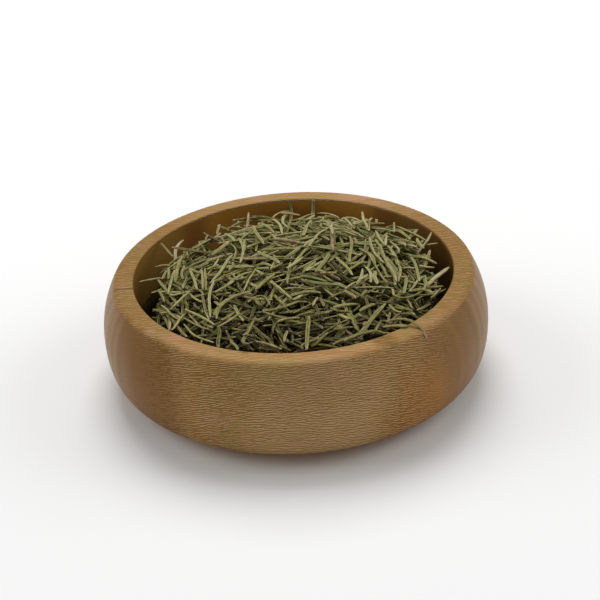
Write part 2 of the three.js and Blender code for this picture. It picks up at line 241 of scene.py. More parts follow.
GROUPS = {
    "bowl_sizes": BowlSizes,
    "heap_sizes": HeapSizes,
    "leaf_sizes": LeafSizes,
    "finishes": Finishes,
    "stage_sizes": StageSizes,
}


# ---------------------------------------------------------------- meshes


def add_piece(name, points, faces, material, replaces):
    """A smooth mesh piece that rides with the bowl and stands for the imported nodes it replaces."""
    mesh = bpy.data.meshes.new(name)
    mesh.from_pydata(points, [], faces)
    mesh.shade_smooth()
    mesh.materials.append(material)
    piece = bpy.data.objects.new(name, mesh)
    bpy.context.scene.collection.objects.link(piece)
    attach(piece, BODY)
    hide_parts(*replaces)
    return piece


def write_values(piece, name, values):
    """One number or vector for each point of the piece, for its material to read."""
    values = np.asarray(values, np.float32)
    kind, field = ("FLOAT", "value") if values.ndim == 1 else ("FLOAT_VECTOR", "vector")
    attribute = piece.data.attributes.new(name, kind, "POINT")
    attribute.data.foreach_set(field, values.ravel())


def quadratic(start, bend, end, shares):
    """Points at shares of a curve from start to end that bends towards one point."""
    start, bend, end = (np.asarray(point, float) for point in (start, bend, end))
    t = np.asarray(shares, float)[:, None]
    return (1 - t) ** 2 * start + 2 * t * (1 - t) * bend + t**2 * end


def cubic(start, first, second, end, shares):
    """The same for a curve that bends towards two points."""
    t = np.asarray(shares, float)[:, None]
    start, first, second, end = (np.asarray(point, float) for point in (start, first, second, end))
    return (
        (1 - t) ** 3 * start
        + 3 * t * (1 - t) ** 2 * first
        + 3 * t**2 * (1 - t) * second
        + t**3 * end
    )


def steps(number):
    """Shares after the start of a stretch, up to its end."""
    return np.arange(1, number + 1) / number


def straight(start, end, number):
    """Points along a straight stretch, after its start."""
    return quadratic(start, np.mean([start, end], 0), end, steps(number))


def across_line(line, facing):
    """At each point of a line, the direction to its side and the one that faces the given way."""
    tangent = np.gradient(line, axis=0)
    tangent /= np.linalg.norm(tangent, axis=1, keepdims=True)
    side = np.cross(tangent, facing)
    side /= np.linalg.norm(side, axis=1, keepdims=True)
    return side, np.cross(side, tangent)


def rings(line, side, up, sideways, upwards):
    """Points of a tube: each ring goes sideways and upwards from its point of the line."""
    return line[:, None] + side[:, None] * sideways[..., None] + up[:, None] * upwards[..., None]


def tube_faces(stations, corners, base):
    """Faces of a closed tube of rings, with a flat cap on each end."""
    near = np.arange(corners)
    far = np.roll(near, -1)
    faces = []
    for ring in range(stations - 1):
        low, high = base + ring * corners, base + (ring + 1) * corners
        faces += np.column_stack((low + near, high + near, high + far, low + far)).tolist()
    faces.append((base + near).tolist())
    faces.append((base + (stations - 1) * corners + near[::-1]).tolist())
    return faces


# ---------------------------------------------------------------- the bowl

BELLY_STEPS = 30
SHOULDER_STEPS = 22
EDGE_STEPS = 10
FLAT_STEPS = 6
INSIDE_STEPS = 16
FLOOR_STEPS = 8
FOOT_EDGE_STEPS = 2


def bowl_profile(bowl):
    """Radius and height from the middle of the foot round to the middle of the hollow's floor."""
    widest = (bowl.radius, bowl.widest_height)
    crease_height = bowl.height - bowl.crease_round
    reach = math.asin((crease_height - bowl.widest_height) / bowl.shoulder_arc)
    turn = reach * steps(SHOULDER_STEPS)
    shoulder_x = bowl.radius - bowl.shoulder_arc
    shoulder = np.column_stack(
        (
            shoulder_x + bowl.shoulder_arc * np.cos(turn),
            bowl.widest_height + bowl.shoulder_arc * np.sin(turn),
        )
    )
    crease = (shoulder[-1][0] - bowl.crease_round * math.tan(reach), bowl.height)
    foot = (bowl.foot_radius, 0)
    foot_end = (bowl.foot_radius + bowl.foot_edge, bowl.foot_edge)
    low_belly = (bowl.belly_radius, bowl.foot_edge)
    high_belly = (bowl.radius, bowl.belly_height)
    flat_start = (bowl.rim_outer, bowl.height)
    flat_end = (bowl.rim_inner + bowl.rim_round, bowl.height)
    corner = (bowl.rim_inner, bowl.height)
    lip = (bowl.rim_inner, bowl.height - bowl.rim_round)
    undercut = (bowl.cavity_radius, bowl.height - bowl.undercut)
    cavity = (bowl.cavity_radius, bowl.cavity_widest)
    floor_corner = (bowl.cavity_radius, bowl.floor_thickness)
    floor_end = (bowl.cavity_radius - bowl.floor_corner, bowl.floor_thickness)
    return np.vstack(
        [
            (0, 0),
            straight((0, 0), foot, FLOOR_STEPS),
            quadratic(foot, (foot_end[0], 0), foot_end, steps(FOOT_EDGE_STEPS)),
            cubic(foot_end, low_belly, high_belly, widest, steps(BELLY_STEPS)),
            shoulder,
            quadratic(shoulder[-1], crease, flat_start, steps(EDGE_STEPS)),
            straight(flat_start, flat_end, FLAT_STEPS),
            quadratic(flat_end, corner, lip, steps(EDGE_STEPS)),
            quadratic(lip, undercut, cavity, steps(INSIDE_STEPS)),
            quadratic(cavity, floor_corner, floor_end, steps(INSIDE_STEPS)),
            straight(floor_end, (0, bowl.floor_thickness), FLOOR_STEPS),
        ]
    )


def turned(profile, sides):
    """Points and faces of a profile turned round the upright axis, both its ends on the axis."""
    turn = np.arange(sides) * 2 * math.pi / sides
    radius, height = profile[1:-1, :1], profile[1:-1, 1:]
    rows = len(radius)
    body = (radius * np.cos(turn), radius * np.sin(turn), np.repeat(height, sides, 1))
    points = np.stack(body, -1).reshape(-1, 3)
    points = np.vstack((points, (0, 0, profile[0][1]), (0, 0, profile[-1][1])))
    near = np.arange(sides)
    far = np.roll(near, -1)
    faces = []
    for row in range(rows - 1):
        low, high = row * sides, (row + 1) * sides
        faces += np.column_stack((low + near, low + far, high + far, high + near)).tolist()
    first, last = rows * sides, rows * sides + 1
    top = (rows - 1) * sides
    faces += [(first, b, a) for a, b in zip(near.tolist(), far.tolist())]
    faces += [(last, top + a, top + b) for a, b in zip(near.tolist(), far.tolist())]
    return points, faces


# ---------------------------------------------------------------- how the leaves fall

DRAW_FACTOR = 1664525
DRAW_STEP = 1013904223
DRAW_RANGE = 2**32
SWING = 1.5  # half of the most that three draws add up to
SCENE_SEED = 5
LEAVES_SEED = 6
PACKED_SEED = 17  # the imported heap's own draws
SINGLES_SEED = 11
STALKS_SEED = 12
TOP_SEED = 23

SIDE_START = 15 * MM  # the gap at the left and right starts this far in front of the middle
SIDE_FADE = 15 * MM
SIDE_POWER = 3  # how quickly a gap closes away from its side
TINY = 1e-9  # keeps the very middle from a division by 0
LUMP_WAVES = (3, 5)
LUMP_SHARES = (1, 0.8)
LUMP_RISE = 2  # the lumps have all their height half way out

CELL = 0.4 * MM  # grid of the height map that the leaves lie down on
HIGHEST = CAD_HIGH.z - 0.1 * MM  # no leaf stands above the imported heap
LINE_STEPS = 32  # steps along a leaf, at whose ends it feels the ground
ALONG = np.linspace(-1, 1, LINE_STEPS + 1)
MIDDLE = LINE_STEPS // 2
END_START, END_FALL = 2.4, 2.2
BODY_SHAPE = np.minimum(1, END_START - END_FALL * np.abs(ALONG))  # thinner at a leaf's ends
FELT_WIDTH = 0.35  # a leaf feels this far to each side, as a share of its width
SIGHT_STEP = 0.8 * MM  # how finely and how far the ground in front is felt
SIGHT_REACH = 5 * MM
MOST_RAISED = 2.4 * MM  # the most that a leaf is raised to clear it

WALL_PASSES = 4
FLOW_START = (1.1, -0.4)
GOLDEN_ANGLE = math.pi * (3 - math.sqrt(5))
PACKED_SPREAD = 60 * MM
PACKED_SHUFFLE = 89
PACKED_SAG = 0.8  # a packed leaf sags by up to this, and arches by up to what is left of 2
SPIRAL_JITTER = 0.2
LOOSE_SIDE_BEND = 2  # a loose leaf bends this many times as much as a packed one
LOOSE_LIFT_BEND = 1.5
BURIED_SHORT = 0.3  # the shortest of the buried leaves are broken off by this share
LONGEST_SHORT = 0.6  # and the longest by this much of it
TRIES = 4  # places that a loose leaf tries before it settles in the lowest
SINK = 0.12 * MM
BURIED_CEILING = -4.2 * MM
TOPPING_CEILING = -0.3 * MM


class Draws:
    """Repeatable draws from 0 to 1."""

    def __init__(self, seed):
        self.state = seed

    def one(self):
        self.state = (self.state * DRAW_FACTOR + DRAW_STEP) % DRAW_RANGE
        return self.state / DRAW_RANGE

    def between(self, low, high):
        return low + (high - low) * self.one()

    def swing(self):
        """From -1.5 to 1.5, and mostly near 0."""
        return self.one() + self.one() + self.one() - SWING

    def bell(self):
        """From -1 to 1, and mostly near 0."""
        return self.swing() / SWING


def towards(side, x, y):
    """How much a place belongs to a side of the bowl: 1 there, and 0 in the half opposite."""
    return np.maximum(0, np.cos(np.arctan2(y, x) - side))


def bare_share(heap, x, y):
    """How much a place belongs to the side where the wall stands bare."""
    return towards(heap.bare, x, y) ** SIDE_POWER


def leaf_wall(heap, x, y):
    """How far out the leaves reach: to the wall at the front, and not quite elsewhere."""
    behind = np.clip((y + SIDE_START) / SIDE_FADE, 0, 1)
    sides = np.where(x < 0, heap.left_clearance, heap.right_clearance)
    sides = sides * (np.abs(x) / (np.hypot(x, y) + TINY)) ** SIDE_POWER * behind
    sides = sides + heap.bare_clearance * bare_share(heap, x, y)
    return heap.wall - heap.wall_clearance * (1 - towards(heap.front, x, y)) - sides


def heap_height(heap, bowl, x, y):
    """Height of the heap's surface, from the foot."""
    radius = np.hypot(x, y)
    turn = np.arctan2(y, x)
    reach = radius / heap.shoulder_radius
    front = towards(heap.front, x, y)
    dome = heap.crown - (heap.crown + heap.shoulder_drop) * reach**2
    dome = dome - heap.bare_drop * bare_share(heap, x, y) * reach**2
    outside = np.maximum(0, (radius - heap.shoulder_radius) / (heap.wall - heap.shoulder_radius))
    fall = heap.fall * (1 - heap.front_fill * front) * outside**heap.fall_power
    first = LUMP_SHARES[0] * np.sin(LUMP_WAVES[0] * turn + heap.lump_start)
    second = LUMP_SHARES[1] * np.sin(LUMP_WAVES[1] * turn + radius / heap.lump_twist)
    lumps = heap.lump_height * (first + second) * np.minimum(1, reach * LUMP_RISE)
    return bowl.height + dome - fall + heap.front_lift * front * reach**2 + lumps


def resting_line(felt, steepest):
    """Height and slope that a line comes to rest at on what it feels from end to end."""
    before = np.arange(MIDDLE)
    after = np.arange(MIDDLE + 1, LINE_STEPS + 1)
    slopes = (felt[after][None, :] - felt[before][:, None]) / (after[None, :] - before[:, None])
    heights = felt[before][:, None] + slopes * (MIDDLE - before)[:, None]
    best = np.unravel_index(np.argmax(heights), heights.shape)
    if heights[best] > felt[MIDDLE]:
        height, slope = heights[best], slopes[best]
    else:
        least = np.max((felt[after] - felt[MIDDLE]) / (after - MIDDLE))
        most = np.min((felt[MIDDLE] - felt[before]) / (MIDDLE - before))
        height, slope = felt[MIDDLE], min(most, max(least, 0))
    if abs(slope) > steepest:
        slope = math.copysign(steepest, slope)
        height = np.max(felt - slope * (np.arange(LINE_STEPS + 1) - MIDDLE))
    return height, slope


class Leaf:
    """A leaf or stalk in plan: its two ends and the point that it bends towards."""

    def __init__(
        self, start, bend, end, width, thickness, arch=0.0, tone=None, warmth=None, roll=None
    ):
        self.start = np.asarray(start, float)
        self.bend = np.asarray(bend, float)
        self.end = np.asarray(end, float)
        self.width = width
        self.thickness = thickness
        self.arch = arch
        self.tone = tone  # from 0, deep, to 1, pale, or drawn if it has none
        self.warmth = warmth  # below 0, fresh, 0, green, to 1, brown, or drawn if it has none
        self.roll = roll  # about its own line, or drawn if it has none
        self.facing = (0, 0, 1)
        self.line = None  # start, bend and end in space, once it lies

    def span(self):
        return np.linalg.norm(self.end - self.start)


class Ground:
    """A height map that leaves lie down on, and which each leaf then adds itself to."""

    def __init__(self, heap, bowl, depth):
        self.reach = bowl.rim_inner
        self.size = int(math.ceil(2 * self.reach / CELL)) + 1
        along = np.arange(self.size) * CELL - self.reach
        x, y = np.meshgrid(along, along)
        self.height = heap_height(heap, bowl, x, y) - depth

    def cells(self, x, y):
        column = np.rint((x + self.reach) / CELL).astype(int)
        row = np.rint((y + self.reach) / CELL).astype(int)
        return np.clip(row, 0, self.size - 1), np.clip(column, 0, self.size - 1)

    def feel(self, leaf, steepest, sight=0.0):
        """Where the leaf would come to rest, clear of what lies in front if it has a sight line."""
        flat = quadratic(leaf.start, leaf.bend, leaf.end, (ALONG + 1) / 2)
        x, y = flat[:, :1], flat[:, 1:]
        side = (leaf.end - leaf.start) / leaf.span() * FELT_WIDTH * leaf.width
        across = np.array([-1, 0, 1])
        cells = self.cells(x - side[1] * across, y + side[0] * across)
        lift = leaf.arch * (1 - ALONG**2)
        body = BODY_SHAPE * leaf.thickness / 2
        felt = self.height[cells].max(1)
        if sight:
            ahead = np.arange(SIGHT_STEP, SIGHT_REACH, SIGHT_STEP)
            hiding = (self.height[self.cells(x, y - ahead)] - sight * ahead).max(1)
            felt = np.maximum(felt, np.minimum(hiding, felt + MOST_RAISED))
        felt = felt + body - lift
        height, slope = resting_line(felt, steepest * leaf.span() / LINE_STEPS)
        return cells, lift, body, height, slope * MIDDLE

    def lay(self, leaf, steepest, sink, sight=0.0):
        """Lays the leaf down, and adds it to the ground."""
        cells, lift, body, height, rise = self.feel(leaf, steepest, sight)
        peak = np.max(height + rise * ALONG + lift) + leaf.width / 2
        sink = max(sink, peak - HIGHEST)
        middle = height - sink + rise * ALONG + lift
        for i, top in enumerate((middle, middle + body, middle)):
            np.maximum.at(self.height, (cells[0][:, i], cells[1][:, i]), top)
        z = height - sink
        leaf.line = (
            np.append(leaf.start, z - rise),
            np.append(leaf.bend, z + 2 * leaf.arch),
            np.append(leaf.end, z + rise),
        )
        return leaf


def kept_inside(heap, middle, half):
    """Moves a leaf's middle in until both its tips are off the wall."""
    for _ in range(WALL_PASSES):
        for sign in (-1, 1):
            tip = middle + half * sign
            over = np.hypot(*tip) - leaf_wall(heap, *tip)
            if over > 0:
                middle = middle - tip / np.hypot(*tip) * over
    return middle


def flow_at(heap, x, y):
    """The way that leaves lie together at a place."""
    across = heap.flow_swing_x * math.sin(x / heap.flow_length_x + FLOW_START[0])
    away = heap.flow_swing_y * math.cos(y / heap.flow_length_y + FLOW_START[1])
    return across + away


def direction(turn):
    """The plan direction at a turn from X."""
    return np.array([math.cos(turn), math.sin(turn)])


def drawn_width(draws, sizes):
    """A dry leaf's width."""
    return draws.between(sizes.narrowest, sizes.widest) * sizes.slimming


def bent_leaf(heap, sizes, middle, yaw, span, width, side_bend, arch):
    """A leaf of a size and bend at a place, moved in off the wall."""
    half = direction(yaw) * span / 2
    middle = kept_inside(heap, middle, half)
    normal = np.array([-half[1], half[0]]) / np.hypot(*half)
    bend = middle + normal * 2 * side_bend
    return Leaf(middle - half, bend, middle + half, width, width * sizes.thickness, arch)


def packed_leaf(number, draws, heap, sizes):
    """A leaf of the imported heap, by its number and the draws that are its own."""
    order = (number * PACKED_SHUFFLE) % sizes.packed
    reach = PACKED_SPREAD * math.sqrt((order + 0.5) / sizes.packed)
    middle = reach * direction(order * GOLDEN_ANGLE + (draws.one() - 0.5) * SPIRAL_JITTER)
    yaw = flow_at(heap, *middle) + draws.swing() * sizes.stray
    span = draws.between(sizes.shortest, sizes.longest)
    width = drawn_width(draws, sizes)
    side_bend = (draws.one() * 2 - 1) * sizes.side_bend * span
    arch = (draws.one() * 2 - PACKED_SAG) * sizes.lift_bend * span
    return bent_leaf(heap, sizes, middle, yaw, span, width, side_bend, arch)


def loose_leaf(draws, heap, sizes, short):
    """A leaf that falls anywhere on the heap."""
    reach = heap.wall * math.sqrt(draws.one())
    middle = reach * direction(draws.between(0, 2 * math.pi))
    yaw = draws.between(0, 2 * math.pi)
    shortest = sizes.shortest * (1 - short)
    span = draws.between(shortest, sizes.longest * (1 - LONGEST_SHORT * short))
    width = drawn_width(draws, sizes)
    side_bend = draws.bell() * LOOSE_SIDE_BEND * sizes.side_bend * span
    arch = draws.bell() * LOOSE_LIFT_BEND * sizes.lift_bend * span
    return bent_leaf(heap, sizes, middle, yaw, span, width, side_bend, arch)


def settle(ground, draws, heap, bowl, sizes, ceiling, short):
    """Drops a loose leaf into the lowest of a few places, if it stays under the ceiling there."""
    lowest, chosen = math.inf, None
    for _ in range(TRIES):
        leaf = loose_leaf(draws, heap, sizes, short)
        *_, height, rise = ground.feel(leaf, sizes.steepest)
        middle = (leaf.start + leaf.end) / 2
        proud = height + abs(rise) / 2 - heap_height(heap, bowl, *middle)
        if proud < lowest:
            lowest, chosen = proud, leaf
    if lowest > ceiling:
        return None
    return ground.lay(chosen, sizes.steepest, SINK)


def fallen_leaves(heap, bowl, sizes):
    """The ground, the buried leaves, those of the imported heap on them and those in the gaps."""
    ground = Ground(heap, bowl, heap.bed_depth)
    draws = Draws(SCENE_SEED)

    def dropped(number, ceiling, short):
        tried = [settle(ground, draws, heap, bowl, sizes, ceiling, short) for _ in range(number)]
        return [leaf for leaf in tried if leaf]

    buried = dropped(sizes.buried, BURIED_CEILING, BURIED_SHORT)
    packed_draws = Draws(PACKED_SEED)
    packed = [
        ground.lay(packed_leaf(number, packed_draws, heap, sizes), sizes.steepest, SINK)
        for number in range(sizes.packed)
    ]
    return ground, buried, packed, dropped(sizes.topping, TOPPING_CEILING, 0)


# ---------------------------------------------------------------- the shape of a leaf

# Across a leaf: both its edges are rolled under, with a groove along the top and a slot below.
# Each point has its place across, its place up and how far it stands out of the groove.
LEAF_SECTION = np.array(
    [
        (-1.00, 0.00, 0.75),
        (-0.80, 0.62, 1.00),
        (-0.34, 0.92, 0.95),
        (0.00, 0.42, 0.00),
        (0.34, 0.92, 0.95),
        (0.80, 0.62, 1.00),
        (1.00, 0.00, 0.75),
        (0.74, -0.78, 0.80),
        (0.28, -0.74, 0.70),
        (0.00, -0.20, 0.10),
        (-0.28, -0.74, 0.70),
        (-0.74, -0.78, 0.80),
    ]
)
PLAIN_SECTION = LEAF_SECTION[[0, 2, 3, 4, 6, 8, 10]]
LEAF_STATIONS = np.array([0, 0.03, 0.1, 0.22, 0.36, 0.5, 0.62, 0.73, 0.83, 0.91, 0.97, 1.0])
PLAIN_STATIONS = np.array([0, 0.08, 0.35, 0.65, 0.92, 1.0])
FOOT_WIDTH, FOOT_GAIN = 0.42, 0.58  # a leaf's width at its foot, and what it gains further on
FOOT_LENGTH = 0.16  # as a share of the leaf's length
FOOT_CURVE = 0.6
TIP_END = 1.005  # the tip's curve would close just past the end
TIP_LEAST = 0.01
BLUNT = (0.02, 0.45)  # least and most width that is left at a tip
SHOULDER = (0.62, 0.84)  # where along the leaf the tip's curve starts
UPSIDE_DOWN = 0.3  # the share of leaves that show their underside
ROLL = 1.1  # the most that a leaf is rolled about its line, in radians
TWIST = 0.9  # and twisted from end to end
WAVE = 0.5  # the most that its line waves, as a share of its width
WAVE_STARTS = 6
SWELL = 0.10
GRAIN_APART = 97  # so that no two leaves have the same streaks
FRONT_SHADE = 0.42  # painted shade: how much darker the leaves are painted that lie against the front wall
BACK_LIGHT = 0.10  # and painted light: how much paler those at the back are painted
FRONT_SHADE_FROM = 16 * MM
FRONT_SHADE_TO = 50 * MM


def leaf_outline(shares, blunt, shoulder):
    """Width along a leaf: a narrow foot, a long even middle and a pointed or broken tip."""
    foot = FOOT_WIDTH + FOOT_GAIN * np.clip(shares / FOOT_LENGTH, 0, 1) ** FOOT_CURVE
    closing = 1 - ((shares - shoulder) / (TIP_END - shoulder)) ** 2
    tip = np.where(shares < shoulder, 1, np.sqrt(np.clip(closing, TIP_LEAST, 1)))
    return foot * np.maximum(tip, blunt)


def swept(leaf, draws, section, stations):
    """Points of one leaf: the section carried along its line, with a roll, a twist and a wave."""
    line = quadratic(*leaf.line, stations)
    side, up = across_line(line, leaf.facing)
    upside_down = draws.one() < UPSIDE_DOWN
    roll = draws.bell() * ROLL + (math.pi if upside_down else 0)
    if leaf.roll is not None:
        roll = leaf.roll
    roll = roll + draws.bell() * TWIST * (stations - 0.5)
    wave = draws.bell() * WAVE * leaf.width
    wave = wave * np.sin(stations * math.pi * 2 + draws.one() * WAVE_STARTS)
    line = line + side * wave[:, None]
    size = leaf_outline(stations, draws.between(*BLUNT), draws.between(*SHOULDER))
    scale = (size * (1 + SWELL * draws.bell() * np.sin(stations * math.pi)))[:, None]
    across = section[:, 0] * leaf.width / 2
    lift = section[:, 1] * leaf.thickness / 2
    cos, sin = np.cos(roll)[:, None], np.sin(roll)[:, None]
    sideways = (across * cos - lift * sin) * scale
    upwards = (across * sin + lift * cos) * scale
    return rings(line, side, up, sideways, upwards)


def front_shade(leaf):
    """Painted shade on the leaves at the front, and painted light on those at the back."""
    forward = -(leaf.start[1] + leaf.end[1]) / 2
    reach = (abs(forward) - FRONT_SHADE_FROM) / (FRONT_SHADE_TO - FRONT_SHADE_FROM)
    return (FRONT_SHADE if forward > 0 else -BACK_LIGHT) * min(1, max(0, reach))


class Look:
    """How the leaves of one piece look, where they don't say so themselves."""

    def __init__(self, tones, warmths, plain=False):
        self.tones = tones
        self.warmths = warmths
        self.plain = plain  # fewer points, for leaves that hardly show


# the buried leaves get the darkest tones: painted shade for their depth in the heap
BURIED_LOOK = Look((0.0, 0.36), (0.1, 1.0), plain=True)
PACKED_LOOK = Look((0.05, 0.85), (-0.5, 0.9))
TOPPING_LOOK = Look((0.10, 0.95), (-0.5, 0.9))


def add_leaves(name, leaves, draws, material, look, replaces):
    """One piece of many leaves, each with a tone and a warmth of its own."""
    section = PLAIN_SECTION if look.plain else LEAF_SECTION
    stations = PLAIN_STATIONS if look.plain else LEAF_STATIONS
    each = len(section) * len(stations)
    along = np.repeat(stations, len(section))
    across = np.tile(section[:, 0], len(stations))
    ridge = np.tile(section[:, 2], len(stations))
    points, faces = [], []
    values = {key: [] for key in ("tone", "warmth", "own", "ridge", "along", "grain")}
    for number, leaf in enumerate(leaves):
        points.append(swept(leaf, draws, section, stations).reshape(-1, 3))
        faces += tube_faces(len(stations), len(section), number * each)
        tone = draws.between(*look.tones)
        warmth = look.warmths[0] + (look.warmths[1] - look.warmths[0]) * draws.one() ** 2
        tone = (tone if leaf.tone is None else leaf.tone) - front_shade(leaf)
        warmth = warmth if leaf.warmth is None else leaf.warmth
        own = draws.one()
        apart = np.full(each, own * GRAIN_APART)
        grain = np.column_stack((across, along * leaf.span() / MM, apart))
        for key, value in zip(values, (tone, warmth, own, ridge, along, grain)):
            values[key].append(value if np.ndim(value) else np.full(each, value))
    piece = add_piece(name, np.vstack(points), faces, material, replaces)
    for key, rows in values.items():
        write_values(piece, key, np.concatenate(rows))


# ---------------------------------------------------------------- shader helpers


class Nodes:
    """Adds nodes to a tree and joins them by the names of their sockets."""

    def __init__(self, tree):
        self.tree = tree

    def add(self, kind, settings=None, **inputs):
        """A new node. Its inputs go by their names, with _ for a space."""
        node = self.tree.nodes.new(kind)
        for key, value in (settings or {}).items():
            setattr(node, key, value)
        for key, value in inputs.items():
            self.put(node, key.replace("_", " "), value)
        return node

    def put(self, node, socket, value):
        """Joins a node's input to another node's output, or gives it a value."""
        target = node.inputs[socket]
        if isinstance(value, bpy.types.NodeSocket):
            self.tree.links.new(value, target)
        elif hasattr(value, "__len__") and len(value) == 3 and target.type == "RGBA":
            target.default_value = (*value, 1)
        else:
            target.default_value = value

    def output_of(self, kind, settings, inputs, output=0):
        """One output of a new node, whose inputs go by their names or places."""
        node = self.add(kind, settings)
        for place, value in inputs.items():
            self.put(node, place, value)
        return node.outputs[output]

    def maths(self, operation, *values):
        return self.output_of("ShaderNodeMath", {"operation": operation}, dict(enumerate(values)))

    def plus(self, first, second):
        return self.maths("ADD", first, second)

    def times(self, first, second):
        return self.maths("MULTIPLY", first, second)

    def rest(self, value):
        """What is left of 1."""
        return self.maths("SUBTRACT", 1.0, value)

    def vectors(self, operation, *values, output=0):
        """Vector maths, which puts out a vector or, where asked, a value."""
        kind = "ShaderNodeVectorMath"
        return self.output_of(kind, {"operation": operation}, dict(enumerate(values)), output)

    def mix(self, factor, first, second):
        """From the first colour at 0 to the second at 1."""
        settings = {"data_type": "RGBA"}
        return self.output_of("ShaderNodeMix", settings, {0: factor, 6: first, 7: second}, 2)

    def mix_values(self, factor, first, second):
        settings = {"data_type": "FLOAT"}
        return self.output_of("ShaderNodeMix", settings, {0: factor, 2: first, 3: second})

    def spread(self, value, low, high, new_low=0.0, new_high=1.0):
        """A soft step of a value: from new_low at low to new_high at high."""
        inputs = dict(enumerate((value, low, high, new_low, new_high)))
        return self.output_of("ShaderNodeMapRange", {"interpolation_type": "SMOOTHSTEP"}, inputs)

    def near(self, value, middle, half, soft, most):
        """The given share where a value is within half of a middle, and softly 0 past that."""
        away = self.maths("ABSOLUTE", self.maths("SUBTRACT", value, middle))
        return self.spread(away, half, half + soft, most, 0.0)

    def stretched(self, vector, scale):
        return self.output_of("ShaderNodeMapping", {}, {0: vector, 3: scale})

    def vector(self, **parts):
        return self.add("ShaderNodeCombineXYZ", **parts).outputs[0]

    def noise(self, vector, scale, detail, roughness=0.5):
        inputs = {"Vector": vector, "Scale": scale, "Detail": detail, "Roughness": roughness}
        return self.output_of("ShaderNodeTexNoise", {}, inputs)

    def place(self):
        return self.add("ShaderNodeTexCoord").outputs["Object"]

    def parts(self, vector):
        """The X, Y and Z of a vector."""
        outputs = self.add("ShaderNodeSeparateXYZ", Vector=vector).outputs
        return outputs[0], outputs[1], outputs[2]

    def attribute(self, name, output="Fac"):
        return self.add("ShaderNodeAttribute", {"attribute_name": name}).outputs[output]

    def group(self, make, **inputs):
        """A node group, built the first time that a material asks for it."""
        tree = bpy.data.node_groups.get(make.__name__) or make(make.__name__)
        return self.add("ShaderNodeGroup", {"node_tree": tree}, **inputs).outputs

    def surface(self, **inputs):
        """The surface's shader, joined to the material's output."""
        shader = self.add("ShaderNodeBsdfPrincipled", **inputs)
        self.add("ShaderNodeOutputMaterial", Surface=shader.outputs[0])


def new_material(name):
    """An empty material, and what adds nodes to it."""
    material = bpy.data.materials.new(name)
    material.use_nodes = True
    material.node_tree.nodes.clear()
    return material, Nodes(material.node_tree)


def new_group(name, values, outputs):
    """A shader node group that takes a place and values, and its two end nodes."""
    tree = bpy.data.node_groups.new(name, "ShaderNodeTree")
    tree.interface.new_socket("Place", in_out="INPUT", socket_type="NodeSocketVector")
    for label, default in values.items():
        socket = tree.interface.new_socket(label, in_out="INPUT", socket_type="NodeSocketFloat")
        socket.default_value = default
    for label in outputs:
        tree.interface.new_socket(label, in_out="OUTPUT", socket_type="NodeSocketFloat")
    start = tree.nodes.new("NodeGroupInput")
    end = tree.nodes.new("NodeGroupOutput")
    return tree, Nodes(tree), start.outputs, end


LINES = {"Level": 0.0, "Spacing": 0.88 * MM, "Run": 3.6 * MM}
LINE_TILT = 0.5  # the lines lie in tilted planes, so that they run on over the flat rim
LINE_DRIFT = (0.14, 1.4)  # how fine a slow wave of the lines is, and how strong
LINE_RIPPLE = (0.7, 0.35)  # and a quick one
LINE_DETAIL = 1.0
DASH_SHIFT = 0.4  # every few lines the dashes change places with the gaps
DASH_DETAIL = 1.5
DASHES = (0.40, 0.60, -0.6, 0.6)
STREAK_RUN = 0.5
STREAK_SPACING = 0.85
STREAK_DETAIL = 2.0
STREAKS = (0.3, 0.7)
STREAK_SHARE = 0.35
MOTTLE = {"Patch": 900.0, "Speck": 3200.0}
PATCH_DETAIL = 2.0
SPECK_DETAIL = 1.0
PATCHES = (0.32, 0.68)
SPECKS = (0.55, 0.72)


def ripple_lines(name):
    """Short wavy lines along X: level ones on the wall and fine streaks on the flat rim."""
    tree, nodes, given, end = new_group(name, LINES, ["Lines"])
    x, y, z = nodes.parts(given["Place"])
    across = nodes.maths("DIVIDE", 1.0, given["Spacing"])
    along = nodes.maths("DIVIDE", 1.0, given["Run"])

    def scaled(first, second, third):
        return nodes.vectors("MULTIPLY", given["Place"], nodes.vector(X=first, Y=second, Z=third))

    turns = nodes.times(nodes.plus(z, nodes.times(y, LINE_TILT)), across)
    for scale, strength in (LINE_DRIFT, LINE_RIPPLE):
        wander = nodes.noise(scaled(along, along, along), scale, LINE_DETAIL)
        turns = nodes.plus(turns, nodes.times(wander, strength))
    wave = nodes.maths("SINE", nodes.times(turns, 2 * math.pi))
    apart = nodes.vector(X=nodes.times(x, along), Y=nodes.times(turns, DASH_SHIFT))
    depth = nodes.spread(nodes.noise(apart, 1.0, DASH_DETAIL), *DASHES)
    level = nodes.plus(nodes.times(wave, depth), 0.5)
    fine = nodes.times(across, STREAK_SPACING)
    streaks = nodes.noise(scaled(nodes.times(along, STREAK_RUN), fine, fine), 1.0, STREAK_DETAIL)
    flat = nodes.mix_values(STREAK_SHARE, level, nodes.spread(streaks, *STREAKS))
    nodes.put(end, "Lines", nodes.mix_values(given["Level"], level, flat))
    return tree


def dry_mottle(name):
    """Uneven drying: pale and dark patches, and fine specks."""
    tree, nodes, given, end = new_group(name, MOTTLE, ["Patches", "Specks"])
    patches = nodes.noise(given["Place"], given["Patch"], PATCH_DETAIL)
    specks = nodes.noise(given["Place"], given["Speck"], SPECK_DETAIL)
    nodes.put(end, "Patches", nodes.spread(patches, *PATCHES))
    nodes.put(end, "Specks", nodes.spread(specks, *SPECKS))
    return tree


# ---------------------------------------------------------------- materials

